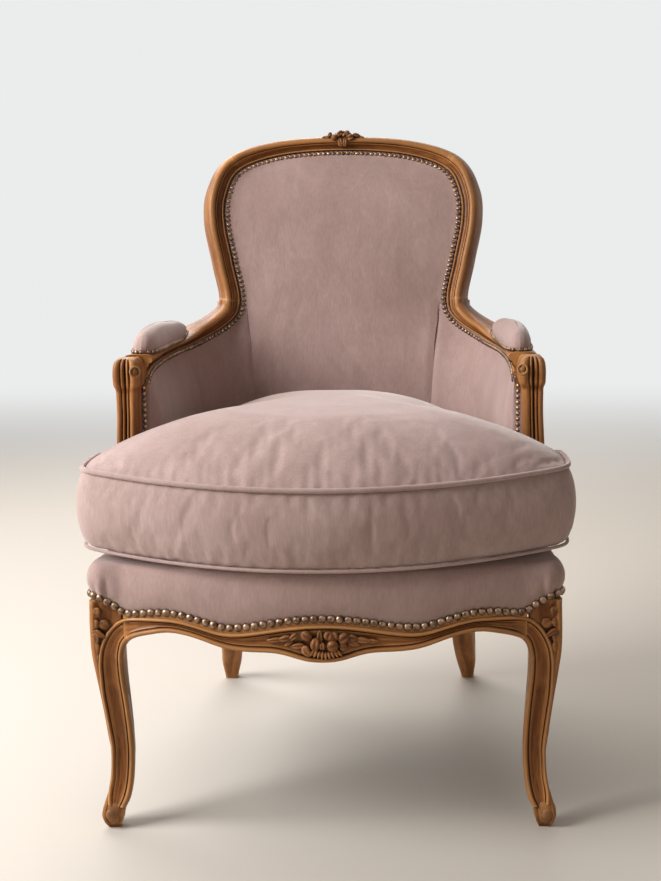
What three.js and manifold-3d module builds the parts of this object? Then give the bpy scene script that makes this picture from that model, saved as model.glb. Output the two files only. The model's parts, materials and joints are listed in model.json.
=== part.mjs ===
// A bergere: an armchair with closed, upholstered arms, a moulded show wood frame and a loose seat cushion.
// Lengths are millimetres. +Z is up, the seat faces -Y, and left is the -X side.
import * as THREE from "three";
import { mergeVertices } from "three/addons/utils/BufferGeometryUtils.js";
import Module from "manifold-3d";

const wasm = await Module();
wasm.setup();

// Clearances
const GAP = 0.3; // between pieces that touch
const MIDDLE_SHARE = 0.5;
const SHOULDER_GAP = 0.7; // between a rail's twisted end and the post that it is tenoned into

// Heights
const RAIL_TOP = 345; // top of the seat rails
const DECK_RISE = 43; // from the seat rails to the deck
const DECK_HEIGHT = RAIL_TOP + DECK_RISE;
const ARM_RISE = 245; // from the deck to the nail line along the arm
const ARM_LINE_HEIGHT = DECK_HEIGHT + ARM_RISE;
const BACK_RISE = 337; // from there to the nail line under the crest
const CREST_LINE_HEIGHT = ARM_LINE_HEIGHT + BACK_RISE;

// The wall: the curved surface that the inside of the arms and back follows.
// In plan it is a superellipse round WALL_CENTRE_Y, and it leans back as it rises.
const ARM_HALF_WIDTH = 276; // half the distance between the arms
const BACK_CURVE_SPREAD = 64; // how much wider the flatter curve at the top of the back is
const BACK_CURVE_HALF_WIDTH = ARM_HALF_WIDTH + BACK_CURVE_SPREAD;
const WALL_CENTRE_Y = -135;
const BACK_DEPTH_AT_SEAT = 385; // from WALL_CENTRE_Y to the back, at the deck
const BACK_RAKE_SHARE = 0.19;
const PLAN_POWER = 4;

// The frame line: the nailed edge of the wood, from the arm post to the middle of the crest.
// Each point is a share of a quarter turn round the wall, and a share of the rise from arm to crest.
const FRAME_LINE_SHARES = [
  [0.052, -0.07],
  [0.12, -0.03],
  [0.28, -0.01],
  [0.45, 0],
  [0.59, 0.018],
  [0.672, 0.065],
  [0.723, 0.136],
  [0.741, 0.222],
  [0.7315, 0.435],
  [0.722, 0.64],
  [0.731, 0.773],
  [0.769, 0.907],
  [0.856, 0.976],
  [1, 1],
];
const NECK_INDEX = 7; // where the arm rail meets the stile
const SHOULDER_INDEX = 11; // where the stile meets the crest rail
const ARM_STEPS = 12;
const POST_COLUMNS = 3; // of those steps lie across the back post
const STILE_STEPS = 7;
const CREST_STEPS = 5; // each side of the middle
const LINE_STEP_SHARE = 0.01; // of the way between two points of the line, for its direction

// Moulded rails of the back and arms
const REBATE_WIDTH = 12; // wood that the cloth is nailed to, inside the nail line
const STILE_REACH = 31; // from the nail line to the outer edge
const CREST_REACH = 26;
const ARM_TOP_REACH = 22; // from the nail line to the level top of the arm rail
const ARM_TOP_HEIGHT = ARM_LINE_HEIGHT + ARM_TOP_REACH;
const LEVEL_END_INDEX = 3; // place on the frame line where the arm's top starts to rise
const RISE_SPAN_SHARE = 0.2; // share of the arm's places over which it rises to its full reach
const LEAST_RISE_SHARE = 0.5; // least upward share of the outward direction that the level top counts with
const REST_LIFT = 15; // rise of the arm rest at its far end
const REST_LIFT_START_SHARE = 0.42; // where it starts, as a share of a quarter turn
const REST_LIFT_SPAN_SHARE = 0.2;
const RAIL_BACK = 34; // from the wall to the back of the wood
const BAR_BACK = 32.5; // from the wall to the back of the posts and of the bars between them
const BEAD_HEIGHT = 10; // how far the moulding stands in front of the wall
// Section of the moulding: share of the reach outwards, and share of the bead height forwards
const MOULDING_SHARES = [
  [0, 0],
  [0.16, 0],
  [0.2, 0.4],
  [0.28, 0.45],
  [0.31, 0.15],
  [0.5, 0.05],
  [0.6, 0.35],
  [0.68, 0.85],
  [0.82, 1],
  [0.95, 0.7],
  [1, 0],
];

// Crest carving
const CREST_CARVING_HALF_WIDTH = 35;
const CREST_CARVING_HALF_HEIGHT = 15;
const CREST_CARVING_HALF_DEPTH = 9;
const CREST_CARVING_DROP = 6; // its middle under the top edge of the rail
const CREST_CARVING_SIDES = 12;
const CREST_CARVING_ROWS = 8;

// Back posts
const POST_INNER = 10; // from the wall to the front face of the post
const POST_HALF_WIDTH = 16;
const POST_TURN_AT_SEAT_SHARE = 0.672; // shares of a quarter turn
const POST_TURN_AT_NECK_SHARE = 0.73;
const POST_LAP = 5; // how far the post runs up into the stile
const POST_STEPS = 6;
const REAR_FOOT_INSET = 54; // from the arm's wall to the rear foot's middle
const REAR_FOOT_HALF_SPAN = ARM_HALF_WIDTH - REAR_FOOT_INSET;
const REAR_FOOT_SETBACK = 470; // behind WALL_CENTRE_Y
const REAR_FOOT_HALF = 12;
// Rear leg stations from the seat down: share of the height, of the way to the foot, and of the taper
const REAR_LEG_SHARES = [
  [0.75, 0.1, 0.08],
  [0.5, 0.33, 0.3],
  [0.25, 0.64, 0.62],
  [0, 1, 1],
];

// Seat rails
const SIDE_RAIL_HEIGHT = 70;
const FRONT_RAIL_THICKNESS = 34;
const FRONT_RAIL_Y = -375; // front face at the middle
const FRONT_RAIL_BOW = 53;
const FRONT_RAIL_BOW_SPAN = 290; // half span that the bow is measured over
const FRONT_RAIL_STEPS = 20;
const FRONT_REBATE = 6; // depth of the step that the border is nailed into
const SIDE_FLARE = 14; // how far the side rail swings out to the front leg
const FLARE_STEPS = 3;
const REAR_RAIL_STEPS = 10;
// Underside and nail line of the front rail:
// share of the half span, then the underside and the nail line as shares of RAIL_TOP
const FRONT_RAIL_SHARES = [
  [0, 0.764, 0.942],
  [0.09, 0.769, 0.939],
  [0.15, 0.788, 0.934],
  [0.22, 0.802, 0.926],
  [0.36, 0.803, 0.906],
  [0.48, 0.812, 0.899],
  [0.6, 0.844, 0.922],
  [0.74, 0.866, 0.944],
  [0.86, 0.853, 0.94],
  [0.95, 0.818, 0.927],
  [1, 0.772, 0.93],
];
const APRON_BEAD = 4; // how far the bead on the underside stands proud
const APRON_BEAD_HEIGHT = 9;

// Front legs
const FRONT_FOOT_OUT = 33; // from the arm's wall to the foot's middle
const FRONT_FOOT_HALF_SPAN = ARM_HALF_WIDTH + FRONT_FOOT_OUT;
const FRONT_FOOT_Y = -306;
const KNEE_HALF = 26;
const KNEE_INSET_X = 5;
const KNEE_INSET_Y = 14;
const ANKLE_SWEEP = 18;
const KNEE_DROP = 10; // from the rail top to the top of the knee that shows
const NAILED_KNEE_HEIGHT = RAIL_TOP - KNEE_DROP;
const LEG_TOP_HALF = 15; // the leg's head under the cloth
// Height as a share of RAIL_TOP, sweep and knee placing as shares, half thickness as a share of KNEE_HALF
const FRONT_LEG_SHARES = [
  [0, 0, 0, 0.5],
  [0.025, -0.06, 0, 0.58],
  [0.06, -0.16, 0, 0.6],
  [0.1, 0.18, 0, 0.54],
  [0.17, 0.72, 0, 0.55],
  [0.28, 1, 0, 0.64],
  [0.41, 0.8, 0.25, 0.76],
  [0.54, 0.42, 0.7, 0.85],
  [0.66, 0.1, 1, 0.93],
  [0.74, 0, 1, 1],
];
// Section of the leg: rounded at its outer corner, cut away at its inner one, hollowed on its two show faces
const LEG_SECTION_SHARES = [
  [0.6, -1],
  [0.86, -0.86],
  [1, -0.6],
  [0.9, -0.4],
  [0.86, 0],
  [0.9, 0.4],
  [1, 0.6],
  [0.9, 0.95],
  [-0.3, 1],
  [-0.7, 0.6],
  [-0.97, 0],
  [-0.95, -0.9],
  [-0.6, -1],
  [-0.4, -0.9],
  [0, -0.86],
  [0.4, -0.9],
];

// Arm posts
const ARM_POST_OUT = 18.5; // from the wall to the post's middle
const ARM_POST_X = ARM_HALF_WIDTH + ARM_POST_OUT;
const ARM_POST_Y = -137;
const ARM_POST_HALF = 19.5;
const ARM_POST_DROP = 3; // from the arm's top to the post's
const ARM_POST_TOP = ARM_TOP_HEIGHT - ARM_POST_DROP;
// Height as a share of the post, outward and forward places and half size as shares of ARM_POST_HALF
const ARM_POST_SHARES = [
  [0, 0.5, 0.1, 1.05],
  [0.25, 0.45, 0, 0.95],
  [0.5, 0.36, -0.05, 0.87],
  [0.72, 0.24, -0.05, 0.82],
  [0.84, 0.22, 0, 0.84],
  [0.88, 0.16, 0.1, 0.98],
  [0.95, 0.15, 0.12, 1],
  [1, 0.15, 0.06, 0.7],
];
const ARM_POST_SECTION_SHARES = [
  [-1, 1],
  [-1, -0.7],
  [-0.8, -1],
  [-0.55, -1],
  [-0.35, -0.8],
  [0.35, -0.8],
  [0.55, -1],
  [0.8, -1],
  [1, -0.8],
  [1, 1],
];

// Arm rests
const REST_HALF_WIDTH = 21;
const REST_HEIGHT = 33;
const REST_SET = 0.8; // from the wood to the rest
const REST_OFFSET = 7; // from the wall to the rest's middle line
const REST_LENGTH = 250;
const REST_START_SHARE = 0.064; // shares of a quarter turn
const REST_END_SHARE = 0.51;
// Plan of the rest: share of its length, and share of its half width
const REST_PLAN_SHARES = [
  [0, 0.55],
  [0.015, 0.82],
  [0.06, 1],
  [0.28, 1],
  [0.5, 1],
  [0.72, 1],
  [0.94, 1],
  [0.985, 0.82],
  [1, 0.55],
];
// Section of the rest: share of its height, and share of its half width
const REST_SECTION_SHARES = [
  [0, 0.93],
  [0.35, 1],
  [0.7, 0.86],
  [0.92, 0.5],
  [1, 0.2],
];

// Cloth and padding
const VELVET = 1.6;
const HESSIAN = 1.2;
const WEB = 2;
const WEB_WIDTH = 60;
const WEB_SET = 3.3; // from the wall to the front of the back webbing
const PAD_SET = 1.5; // from the wall to the back of the stuffing
const ARM_CROWN = 17;
const BACK_CROWN = 20;
const SEAM_CROWN_SHARE = 0.8;
const SEAM_SHARE = 0.758; // the seam between arm and back at the seat, share of a quarter turn
const SEAM_FADE = 80; // height under the neck over which the seam sinks into the wood
const PILLOW_POWER = 3;
const PAD_LIFT = 2; // from the deck to the padding of the back
const OUTSIDE_SWELL = 4; // of the cloths outside the arms and back
const LOWER_EDGE_SWELL_SHARE = 0.5; // share of it along the lower parts of their sides
const HESSIAN_SET = 1.8; // from the wall to the hessian in front of the back webbing
const HEM_REACH = 3; // how far the cloth runs past the nail line
const SEW_GAP = 1.2;
const CLOTH_START_SHARE = 0.0214; // where the arm's cloths start and end, as shares of the arm's places
const CLOTH_END_SHARE = 0.9857;
const LOWER_ROWS = 4;
const ARM_ROWS = 5;
const OUTSIDE_ARM_ROWS = 4;
const OUTSIDE_ARM_DROP = 27; // from the rail top down to the outside cloths' lower edges
const OUTSIDE_BACK_DROP = 45;
const OUTSIDE_ARM_BOTTOM = RAIL_TOP - OUTSIDE_ARM_DROP;
const OUTSIDE_BACK_BOTTOM = RAIL_TOP - OUTSIDE_BACK_DROP;
const SIDE_SET = 1.6; // from the back of the wood to the cloth outside the arms
const REAR_SET = 1.1; // and to the cloth outside the back
const WEB_EVERY = 3;
const WEB_FIRST = 1;
const NAIL_INSET = 5; // how far the nail strip reaches inside the nail line
const LOWER_BACK_RAIL_HEIGHT = 28;
const LOWER_BACK_RAIL_RISE = 12; // above the deck
const NAIL_WIDTH = 8;
const NAIL_PROUD = 2;
const OUTER_NAIL_SHARE = 0.28; // share of the reach at which the outside covers are nailed

// Seat
const SEAT_MIDDLE_Y = -230; // the loops of the seat shrink towards this point of the middle line
const BLOCK_HEIGHT = 39; // of the glued corner blocks
const FRONT_BLOCK_STEPS = 3;
const OPENING_CLEARANCE = 0.9; // between the seat's flat cloths and the rails
const BLOCK_CLEARANCE = 1.6;
const STUFFING_SET = 0.8; // between the seat's stuffing and its cover
const SEAT_WEB_DROP = 42; // from the rail top to the seat's webbing
const SEAT_WEB_HEIGHT = RAIL_TOP - SEAT_WEB_DROP;
const DUST_COVER_DROP = 5; // from the webbing to the dust cover
const DUST_COVER_HEIGHT = SEAT_WEB_HEIGHT - DUST_COVER_DROP;
const SPRING_RADIUS = 36;
const SPRING_WAIST_SHARE = 0.7;
const SPRING_WIRE = 3.6;
const WIRE_SIDES = 4;
const SPRING_TURNS = 4;
const SPRING_STEPS = 6; // per turn
const SPRING_END_SHARE = 0.14; // share of the wire in each flat end turn
const SPRING_SPACING_X = 130;
const SPRING_SPACING_Y = 100;
const SPRING_ROW_Y = -60;
const TWINE = 3;
const LASHING_DROP = 9; // from the rail top to the twine's end
const LASHING_BEND_X_SHARE = 0.61; // where the twine bends down, share of the way to the rail
const LASHING_BEND_Y_SHARE = 0.66;
const HESSIAN_RISE = 14; // rise of the seat hessian over the springs
const PLATEAU_SHARE = 0.72; // size of the raised part
const DECK_SET = 1.5; // from the wall to the deck's edge
const DECK_EAR_BACK_Y = -165; // back of the deck's front corners
const DECK_BULGE = 7;
const BORDER_EDGE_DROP = 5; // from the deck to the border's rounded top edge
const BORDER_EDGE_HEIGHT = DECK_HEIGHT - BORDER_EDGE_DROP;
const DECK_NAIL_DROP = 9; // from the rail top to the border's lower edge at the side
const DECK_ROLL = 9;
const NAIL_LEAN_SHARE = 0.5; // share of the bulge that the nail strip's upper edge leans out by
// The border round the knee:
// places as shares of KNEE_HALF from the knee's middle, and the lower edge as a share of RAIL_TOP
const KNEE_CLOTH_SHARES = [
  [-0.54, -1.11, 0.953],
  [0, -1.11, 0.974],
  [0.42, -1.09, 0.974],
  [0.84, -0.84, 0.973],
  [1.06, -0.35, 0.973],
  [1.02, 0.4, 0.973],
];

// Cushion
const CUSHION_FRONT_Y = -385;
const CUSHION_BOW = 92;
const CUSHION_EAR_REACH = 63; // how far the front corners reach past the arm's wall
const CUSHION_HALF_WIDTH = ARM_HALF_WIDTH + CUSHION_EAR_REACH;
const CUSHION_INSET = 27; // from the wall to the cushion's seam
const CUSHION_SET = 4; // from the deck to the middle of the lower piping
const CUSHION_BOTTOM = DECK_HEIGHT + CUSHION_SET;
const BORDER_HEIGHT = 109;
const CUSHION_CROWN = 86;
const CUSHION_SAG = 1.5;
const FILLING_SET = 0.9; // between the filling and the cloth
const CROWN_POWER = 2.5;
const CROWN_SHIFT = 150; // how far behind SEAT_MIDDLE_Y the crown is highest
const CROWN_SHARES = [1, 0.92, 0.7, 0.38];
const SAG_SHARES = [1, 0.8];
const EAR_RISE = 14; // how much higher the front corners are
const EAR_RISE_SPAN = 60;
const PIPING_RADIUS = 3.6;
const PIPING_SIDES = 5;
const BORDER_BULGE = 7;
const BORDER_SHARES = [0, 0.2, 0.5, 0.8, 1];
const BORDER_SHOWS_Y = -185; // in front of this the border bulges freely
const EAR_BACK_Y = -171;
const EAR_RADIUS = 14;
const FRONT_RADIUS = 30;
const CUSHION_FRONT_STEPS = 5;
const CUSHION_CORNER_SHARES = [
  [0.45, 0.25],
  [0.85, 0.7],
  [1, 1.4],
];
const BODY_STEPS = 9;

// Finishes
const WOOD = { color: 0x8a5a35, roughness: 0.45, metalness: 0 };
const BARE_WOOD = { color: 0xb08a5e, roughness: 0.8, metalness: 0 };
const VELVET_CLOTH = { color: 0xb49a93, roughness: 0.9, metalness: 0 };
const JUTE = { color: 0x9b8560, roughness: 0.95, metalness: 0 };
const HAIR = { color: 0x4a3c30, roughness: 1, metalness: 0 };
const FILLING = { color: 0xe6dfd2, roughness: 0.95, metalness: 0 };
const BRASS = { color: 0x8a6f45, roughness: 0.4, metalness: 0.9 };
const STEEL = { color: 0x77726a, roughness: 0.5, metalness: 0.9 };
const BLACK_CLOTH = { color: 0x2b2826, roughness: 0.95, metalness: 0 };

const QUARTER = Math.PI / 2;
const mix = THREE.MathUtils.lerp;
const clamp = THREE.MathUtils.clamp;
const chair = new THREE.Group();
const lowerRailBottom = DECK_HEIGHT + LOWER_BACK_RAIL_RISE;

// Smooth step from 0 to 1
function ease(t) {
  const c = clamp(t, 0, 1);
  return c * c * (3 - 2 * c);
}

// Numbers from 0 to 1 in equal steps
function shares(steps) {
  return Array.from({ length: steps + 1 }, (_, i) => i / steps);
}

function vector(x, y, z) {
  return new THREE.Vector3(x, y, z);
}

// A point on a table of shares, by its first column, with the other columns running evenly between rows
function fromTable(table, key, column) {
  let i = 0;
  while (i < table.length - 2 && table[i + 1][0] < key) i += 1;
  const span = (key - table[i][0]) / (table[i + 1][0] - table[i][0]);
  return mix(table[i][column], table[i + 1][column], clamp(span, 0, 1));
}

// Geometry of a closed solid from points and triangles, turned so that its faces point outwards
function closed(points, triangles) {
  let volume = 0;
  const cross = new THREE.Vector3();
  for (const [a, b, c] of triangles) {
    volume += points[a].dot(cross.crossVectors(points[b], points[c]));
  }
  const faces = volume < 0 ? triangles.map(([a, b, c]) => [a, c, b]) : triangles;
  const geometry = new THREE.BufferGeometry();
  geometry.setAttribute("position", new THREE.Float32BufferAttribute(points.flatMap((p) => p.toArray()), 3));
  geometry.setIndex(faces.flat());
  return geometry;
}

// Triangles that cap a flat ring
function cap(ring, first) {
  const normal = new THREE.Vector3();
  ring.forEach((p, i) => normal.add(new THREE.Vector3().crossVectors(p, ring[(i + 1) % ring.length])));
  normal.normalize();
  const side = ring[1].clone().sub(ring[0]).projectOnPlane(normal).normalize();
  const over = new THREE.Vector3().crossVectors(normal, side);
  const flat = ring.map((p) => new THREE.Vector2(p.dot(side), p.dot(over)));
  return THREE.ShapeUtils.triangulateShape(flat, []).map((t) => t.map((i) => i + first));
}

// A closed skin over rings of equal point counts, capped at its ends unless it runs round in a loop
function skin(rings, looped = false) {
  const n = rings[0].length;
  const triangles = [];
  const spans = looped ? rings.length : rings.length - 1;
  for (let r = 0; r < spans; r += 1) {
    const a = r * n;
    const b = ((r + 1) % rings.length) * n;
    for (let i = 0; i < n; i += 1) {
      const j = (i + 1) % n;
      triangles.push([a + i, a + j, b + j], [a + i, b + j, b + i]);
    }
  }
  if (!looped) {
    const last = (rings.length - 1) * n;
    triangles.push(...cap(rings[0], 0).map(([a, b, c]) => [a, c, b]));
    triangles.push(...cap(rings[rings.length - 1], last));
  }
  return closed(rings.flat(), triangles);
}

// A solid of the boolean library from a geometry, and back
function toSolid(geometry) {
  const bare = geometry.clone();
  bare.deleteAttribute("normal");
  bare.deleteAttribute("uv");
  const merged = mergeVertices(bare);
  const triVerts = new Uint32Array(merged.index.array);
  const vertProperties = merged.attributes.position.array;
  return new wasm.Manifold(new wasm.Mesh({ numProp: 3, vertProperties, triVerts }));
}

function fromSolid(solid) {
  const mesh = solid.getMesh();
  const geometry = new THREE.BufferGeometry();
  geometry.setAttribute("position", new THREE.BufferAttribute(mesh.vertProperties, 3));
  geometry.setIndex(new THREE.BufferAttribute(mesh.triVerts, 1));
  return geometry;
}

function joined(...geometries) {
  return fromSolid(geometries.map(toSolid).reduce((a, b) => a.add(b)));
}

function cut(geometry, ...tools) {
  return fromSolid(tools.map(toSolid).reduce((a, b) => a.subtract(b), toSolid(geometry)));
}

function clipped(geometry, keep) {
  return fromSolid(toSolid(geometry).intersect(toSolid(keep)));
}

// The mirror image across the middle of the chair, with its faces still outwards
function mirrored(geometry) {
  const copy = geometry.clone().applyMatrix4(new THREE.Matrix4().makeScale(-1, 1, 1));
  const index = copy.index.array;
  for (let i = 0; i < index.length; i += 3) {
    [index[i + 1], index[i + 2]] = [index[i + 2], index[i + 1]];
  }
  return copy;
}

function add(name, geometry, finish) {
  const mesh = new THREE.Mesh(geometry, new THREE.MeshStandardMaterial(finish));
  mesh.geometry.computeVertexNormals();
  mesh.name = name;
  chair.add(mesh);
}

function addPair(name, geometry, finish) {
  add(`${name}_right`, geometry, finish);
  add(`${name}_left`, mirrored(geometry), finish);
}

// Wall geometry

function wallHalfWidth(z) {
  const rise = (z - ARM_LINE_HEIGHT) / (CREST_LINE_HEIGHT - ARM_LINE_HEIGHT);
  return mix(ARM_HALF_WIDTH, BACK_CURVE_HALF_WIDTH, ease(rise));
}

function wallDepth(z) {
  return BACK_DEPTH_AT_SEAT + BACK_RAKE_SHARE * (z - DECK_HEIGHT);
}

// The wall's outward direction at a place on it
function wallNormal(place) {
  const a = wallHalfWidth(place.z);
  const b = wallDepth(place.z);
  const x = place.x / a;
  const y = (place.y - WALL_CENTRE_Y) / b;
  const odd = PLAN_POWER - 1;
  return vector(Math.sign(x) * Math.abs(x) ** odd / a, Math.sign(y) * Math.abs(y) ** odd / b, 0).normalize();
}

// A point of the wall:
// turn is a share of a quarter turn from the arm's front, z a height, depth an offset outwards
function wall(turn, z, depth = 0) {
  const angle = turn * QUARTER;
  const across = Math.abs(Math.cos(angle) / wallHalfWidth(z)) ** PLAN_POWER;
  const along = Math.abs(Math.sin(angle) / wallDepth(z)) ** PLAN_POWER;
  const radius = (across + along) ** (-1 / PLAN_POWER);
  const place = vector(radius * Math.cos(angle), WALL_CENTRE_Y + radius * Math.sin(angle), z);
  return place.addScaledVector(wallNormal(place), depth);
}

// The turn at which a place lies
function turnOf(place) {
  return Math.atan2(place.y - WALL_CENTRE_Y, place.x) / QUARTER;
}

// The share of a quarter turn that a length spans at the rear of the wall
function turnSpan(length) {
  return length / BACK_DEPTH_AT_SEAT / QUARTER;
}

// Frame line geometry

const frameCurve = new THREE.CatmullRomCurve3(
  [
    ...FRAME_LINE_SHARES,
    ...FRAME_LINE_SHARES.slice(0, -1)
      .reverse()
      .map(([turn, rise]) => [2 - turn, rise]),
  ].map(([turn, rise]) => vector(turn, rise, 0)),
  false,
  "centripetal",
);
const LINE_SPANS = 2 * (FRAME_LINE_SHARES.length - 1);

// A point of the frame line by its place among the line's points
function linePoint(place) {
  const p = frameCurve.getPoint(clamp(place / LINE_SPANS, 0, 1));
  return wall(p.x, mix(ARM_LINE_HEIGHT, CREST_LINE_HEIGHT, p.y));
}

// The line's place with its own axes: along, out towards the wood's outer edge, and back through the wood
function lineFrame(place) {
  const point = linePoint(place);
  const ahead = linePoint(Math.min(place + LINE_STEP_SHARE, LINE_SPANS));
  const behind = linePoint(Math.max(place - LINE_STEP_SHARE, 0));
  const along = ahead.sub(behind).normalize();
  const back = wallNormal(point);
  const out = new THREE.Vector3().crossVectors(back, along).normalize();
  return { point, along, back, out };
}

function onFrame(frame, out, back, along = 0) {
  const place = frame.point.clone().addScaledVector(frame.out, out);
  return place.addScaledVector(frame.back, back).addScaledVector(frame.along, along);
}

// Places of the samples along the arm, the stile and the crest
const armPlaces = shares(ARM_STEPS).map((s) => s * NECK_INDEX);
const stilePlaces = shares(STILE_STEPS).map((s) => mix(NECK_INDEX, SHOULDER_INDEX, s));
const crestPlaces = shares(2 * CREST_STEPS).map((s) => mix(SHOULDER_INDEX, LINE_SPANS - SHOULDER_INDEX, s));

// How far the wood reaches beyond the nail line: to a level height along the arm
function reachAt(place) {
  const toMiddle = 1 - Math.abs(place - LINE_SPANS / 2) / (LINE_SPANS / 2 - SHOULDER_INDEX + 1);
  const toNeck = (place - LEVEL_END_INDEX) / (RISE_SPAN_SHARE * NECK_INDEX);
  const { point, out } = lineFrame(place);
  const armReach = (ARM_TOP_HEIGHT - point.z) / Math.max(out.z, LEAST_RISE_SHARE);
  return mix(mix(armReach, STILE_REACH, ease(toNeck)), CREST_REACH, ease(toMiddle));
}

// One ring of the moulding
function mouldingRing(place, shift = 0) {
  const frame = lineFrame(place);
  const reach = reachAt(place);
  const front = MOULDING_SHARES.map(([out, proud]) => {
    return onFrame(frame, out * reach, -proud * BEAD_HEIGHT, shift);
  });
  return [
    onFrame(frame, -REBATE_WIDTH, 0, shift),
    ...front,
    onFrame(frame, reach, RAIL_BACK - BEAD_HEIGHT, shift),
    onFrame(frame, reach - BEAD_HEIGHT / 2, RAIL_BACK, shift),
    onFrame(frame, -REBATE_WIDTH, RAIL_BACK, shift),
  ];
}

// Moulded wood along the frame line, its two ends drawn back by half a gap
function mouldedRail(places) {
  const last = places.length - 1;
  return skin(places.map((place, i) => mouldingRing(place, i === 0 ? GAP / 2 : i === last ? -GAP / 2 : 0)));
}

// Back posts

function postTurn(z) {
  const rise = (z - RAIL_TOP) / (linePoint(NECK_INDEX).z - RAIL_TOP);
  return mix(POST_TURN_AT_SEAT_SHARE, POST_TURN_AT_NECK_SHARE, clamp(rise, 0, 1));
}

// The turn of one edge of the post, a clearance away from it
function postEdge(z, side, clearance = 0) {
  return postTurn(z) + side * turnSpan(POST_HALF_WIDTH + clearance);
}

function postRing(z, clearance = 0) {
  const near = POST_INNER - clearance;
  const far = BAR_BACK + clearance;
  return [
    wall(postEdge(z, -1, clearance), z, near),
    wall(postEdge(z, 1, clearance), z, near),
    wall(postEdge(z, 1, clearance), z, far),
    wall(postEdge(z, -1, clearance), z, far),
  ];
}

function postShaftRings(clearance = 0) {
  const top = linePoint(NECK_INDEX).z + POST_LAP;
  const rings = shares(POST_STEPS).map((s) => postRing(mix(top, RAIL_TOP, s), clearance));
  return [...rings, postRing(RAIL_TOP - SIDE_RAIL_HEIGHT, clearance)];
}

function rearLegRings() {
  const top = RAIL_TOP - SIDE_RAIL_HEIGHT;
  const seat = postRing(top);
  const footY = WALL_CENTRE_Y + REAR_FOOT_SETBACK;
  const foot = [
    [-1, -1],
    [1, -1],
    [1, 1],
    [-1, 1],
  ].map(([x, y]) => vector(REAR_FOOT_HALF_SPAN - x * REAR_FOOT_HALF, footY + y * REAR_FOOT_HALF, 0));
  const middle = (ring) => ring.reduce((a, p) => a.clone().add(p)).multiplyScalar(1 / ring.length);
  const seatMiddle = middle(seat);
  const footMiddle = middle(foot);
  const rings = REAR_LEG_SHARES.map(([height, way, taper]) =>
    seat.map((p, i) => {
      const centre = seatMiddle.clone().lerp(footMiddle, way);
      const arm = p.clone().sub(seatMiddle).lerp(foot[i].clone().sub(footMiddle), taper);
      return centre.add(arm).setZ(height * top);
    }),
  );
  return rings;
}

function backPost() {
  return joined(skin([...postShaftRings(), ...rearLegRings()]), mouldedRail(stilePlaces));
}

// Crest rail with its carving's boss

function crestRail() {
  const boss = new THREE.SphereGeometry(1, CREST_CARVING_SIDES, CREST_CARVING_ROWS);
  boss.scale(CREST_CARVING_HALF_WIDTH, CREST_CARVING_HALF_DEPTH, CREST_CARVING_HALF_HEIGHT);
  const frame = lineFrame(LINE_SPANS / 2);
  const centre = onFrame(frame, CREST_REACH - CREST_CARVING_DROP, 0);
  boss.translate(...centre.toArray());
  return joined(mouldedRail(crestPlaces), boss);
}

// Arm rail: it laps over the front of the back post, and its front end is square against the arm post
function armRail() {
  const size = 2 * (ARM_POST_X + RAIL_BACK + ARM_POST_HALF);
  const ahead = new THREE.BoxGeometry(size, size, size);
  ahead.translate(0, linePoint(0).y - size / 2, ARM_LINE_HEIGHT);
  return cut(mouldedRail(armPlaces), skin(postShaftRings(GAP)), ahead);
}

// Arm post
function armPost() {
  const foot = RAIL_TOP + GAP;
  return skin(
    ARM_POST_SHARES.map(([rise, out, forward, size]) => {
      const centre = vector(
        ARM_POST_X + out * ARM_POST_HALF,
        ARM_POST_Y - forward * ARM_POST_HALF,
        mix(foot, ARM_POST_TOP, rise),
      );
      const back = linePoint(0).y;
      return ARM_POST_SECTION_SHARES.map(([x, y]) =>
        vector(
          centre.x + x * size * ARM_POST_HALF,
          y > 0 ? back - GAP : centre.y + y * size * ARM_POST_HALF,
          centre.z,
        ),
      );
    }),
  );
}

// The turn at which the arm rail and the arm's cloths start
function armStartTurn() {
  return turnOf(linePoint(0));
}

// Seat rails

function frontFace(x) {
  return FRONT_RAIL_Y + FRONT_RAIL_BOW * (x / FRONT_RAIL_BOW_SPAN) ** 2;
}

function kneeInner() {
  return FRONT_FOOT_HALF_SPAN - KNEE_INSET_X - KNEE_HALF;
}

function frontRail() {
  const half = kneeInner() - GAP;
  const rings = shares(FRONT_RAIL_STEPS).map((s) => {
    const x = mix(-half, half, s);
    const share = Math.abs(x) / half;
    const under = fromTable(FRONT_RAIL_SHARES, share, 1) * RAIL_TOP;
    const nailed = fromTable(FRONT_RAIL_SHARES, share, 2) * RAIL_TOP;
    const face = frontFace(x);
    const back = face + FRONT_RAIL_THICKNESS;
    const middle = mix(under + APRON_BEAD_HEIGHT, nailed, MIDDLE_SHARE);
    return [
      vector(x, back, under),
      vector(x, face, under),
      vector(x, face - APRON_BEAD, under + APRON_BEAD_HEIGHT / 3),
      vector(x, face, under + APRON_BEAD_HEIGHT),
      vector(x, face + APRON_BEAD / 2, middle),
      vector(x, face, nailed - APRON_BEAD_HEIGHT / 2),
      vector(x, face + FRONT_REBATE, nailed),
      vector(x, face + FRONT_REBATE, RAIL_TOP),
      vector(x, back, RAIL_TOP),
    ];
  });
  return skin(rings);
}

// How far the side rail swings out from the wall at a turn in front of the arm
function flare(turn) {
  const front = frontTurn();
  return SIDE_FLARE * ease(turn / front);
}

function legBack() {
  return FRONT_FOOT_Y + KNEE_INSET_Y + KNEE_HALF;
}

// The turn at which the side rail meets the back of the front leg
function frontTurn() {
  return turnOf(vector(ARM_HALF_WIDTH, legBack() + GAP, 0));
}

// Turns from the arm's front to the back post, shared by the side rail and the cloth outside the arm
function armColumns(z, clearance) {
  return shares(ARM_STEPS - POST_COLUMNS).map((s) => mix(armStartTurn(), postEdge(z, -1, clearance), s));
}

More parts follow.
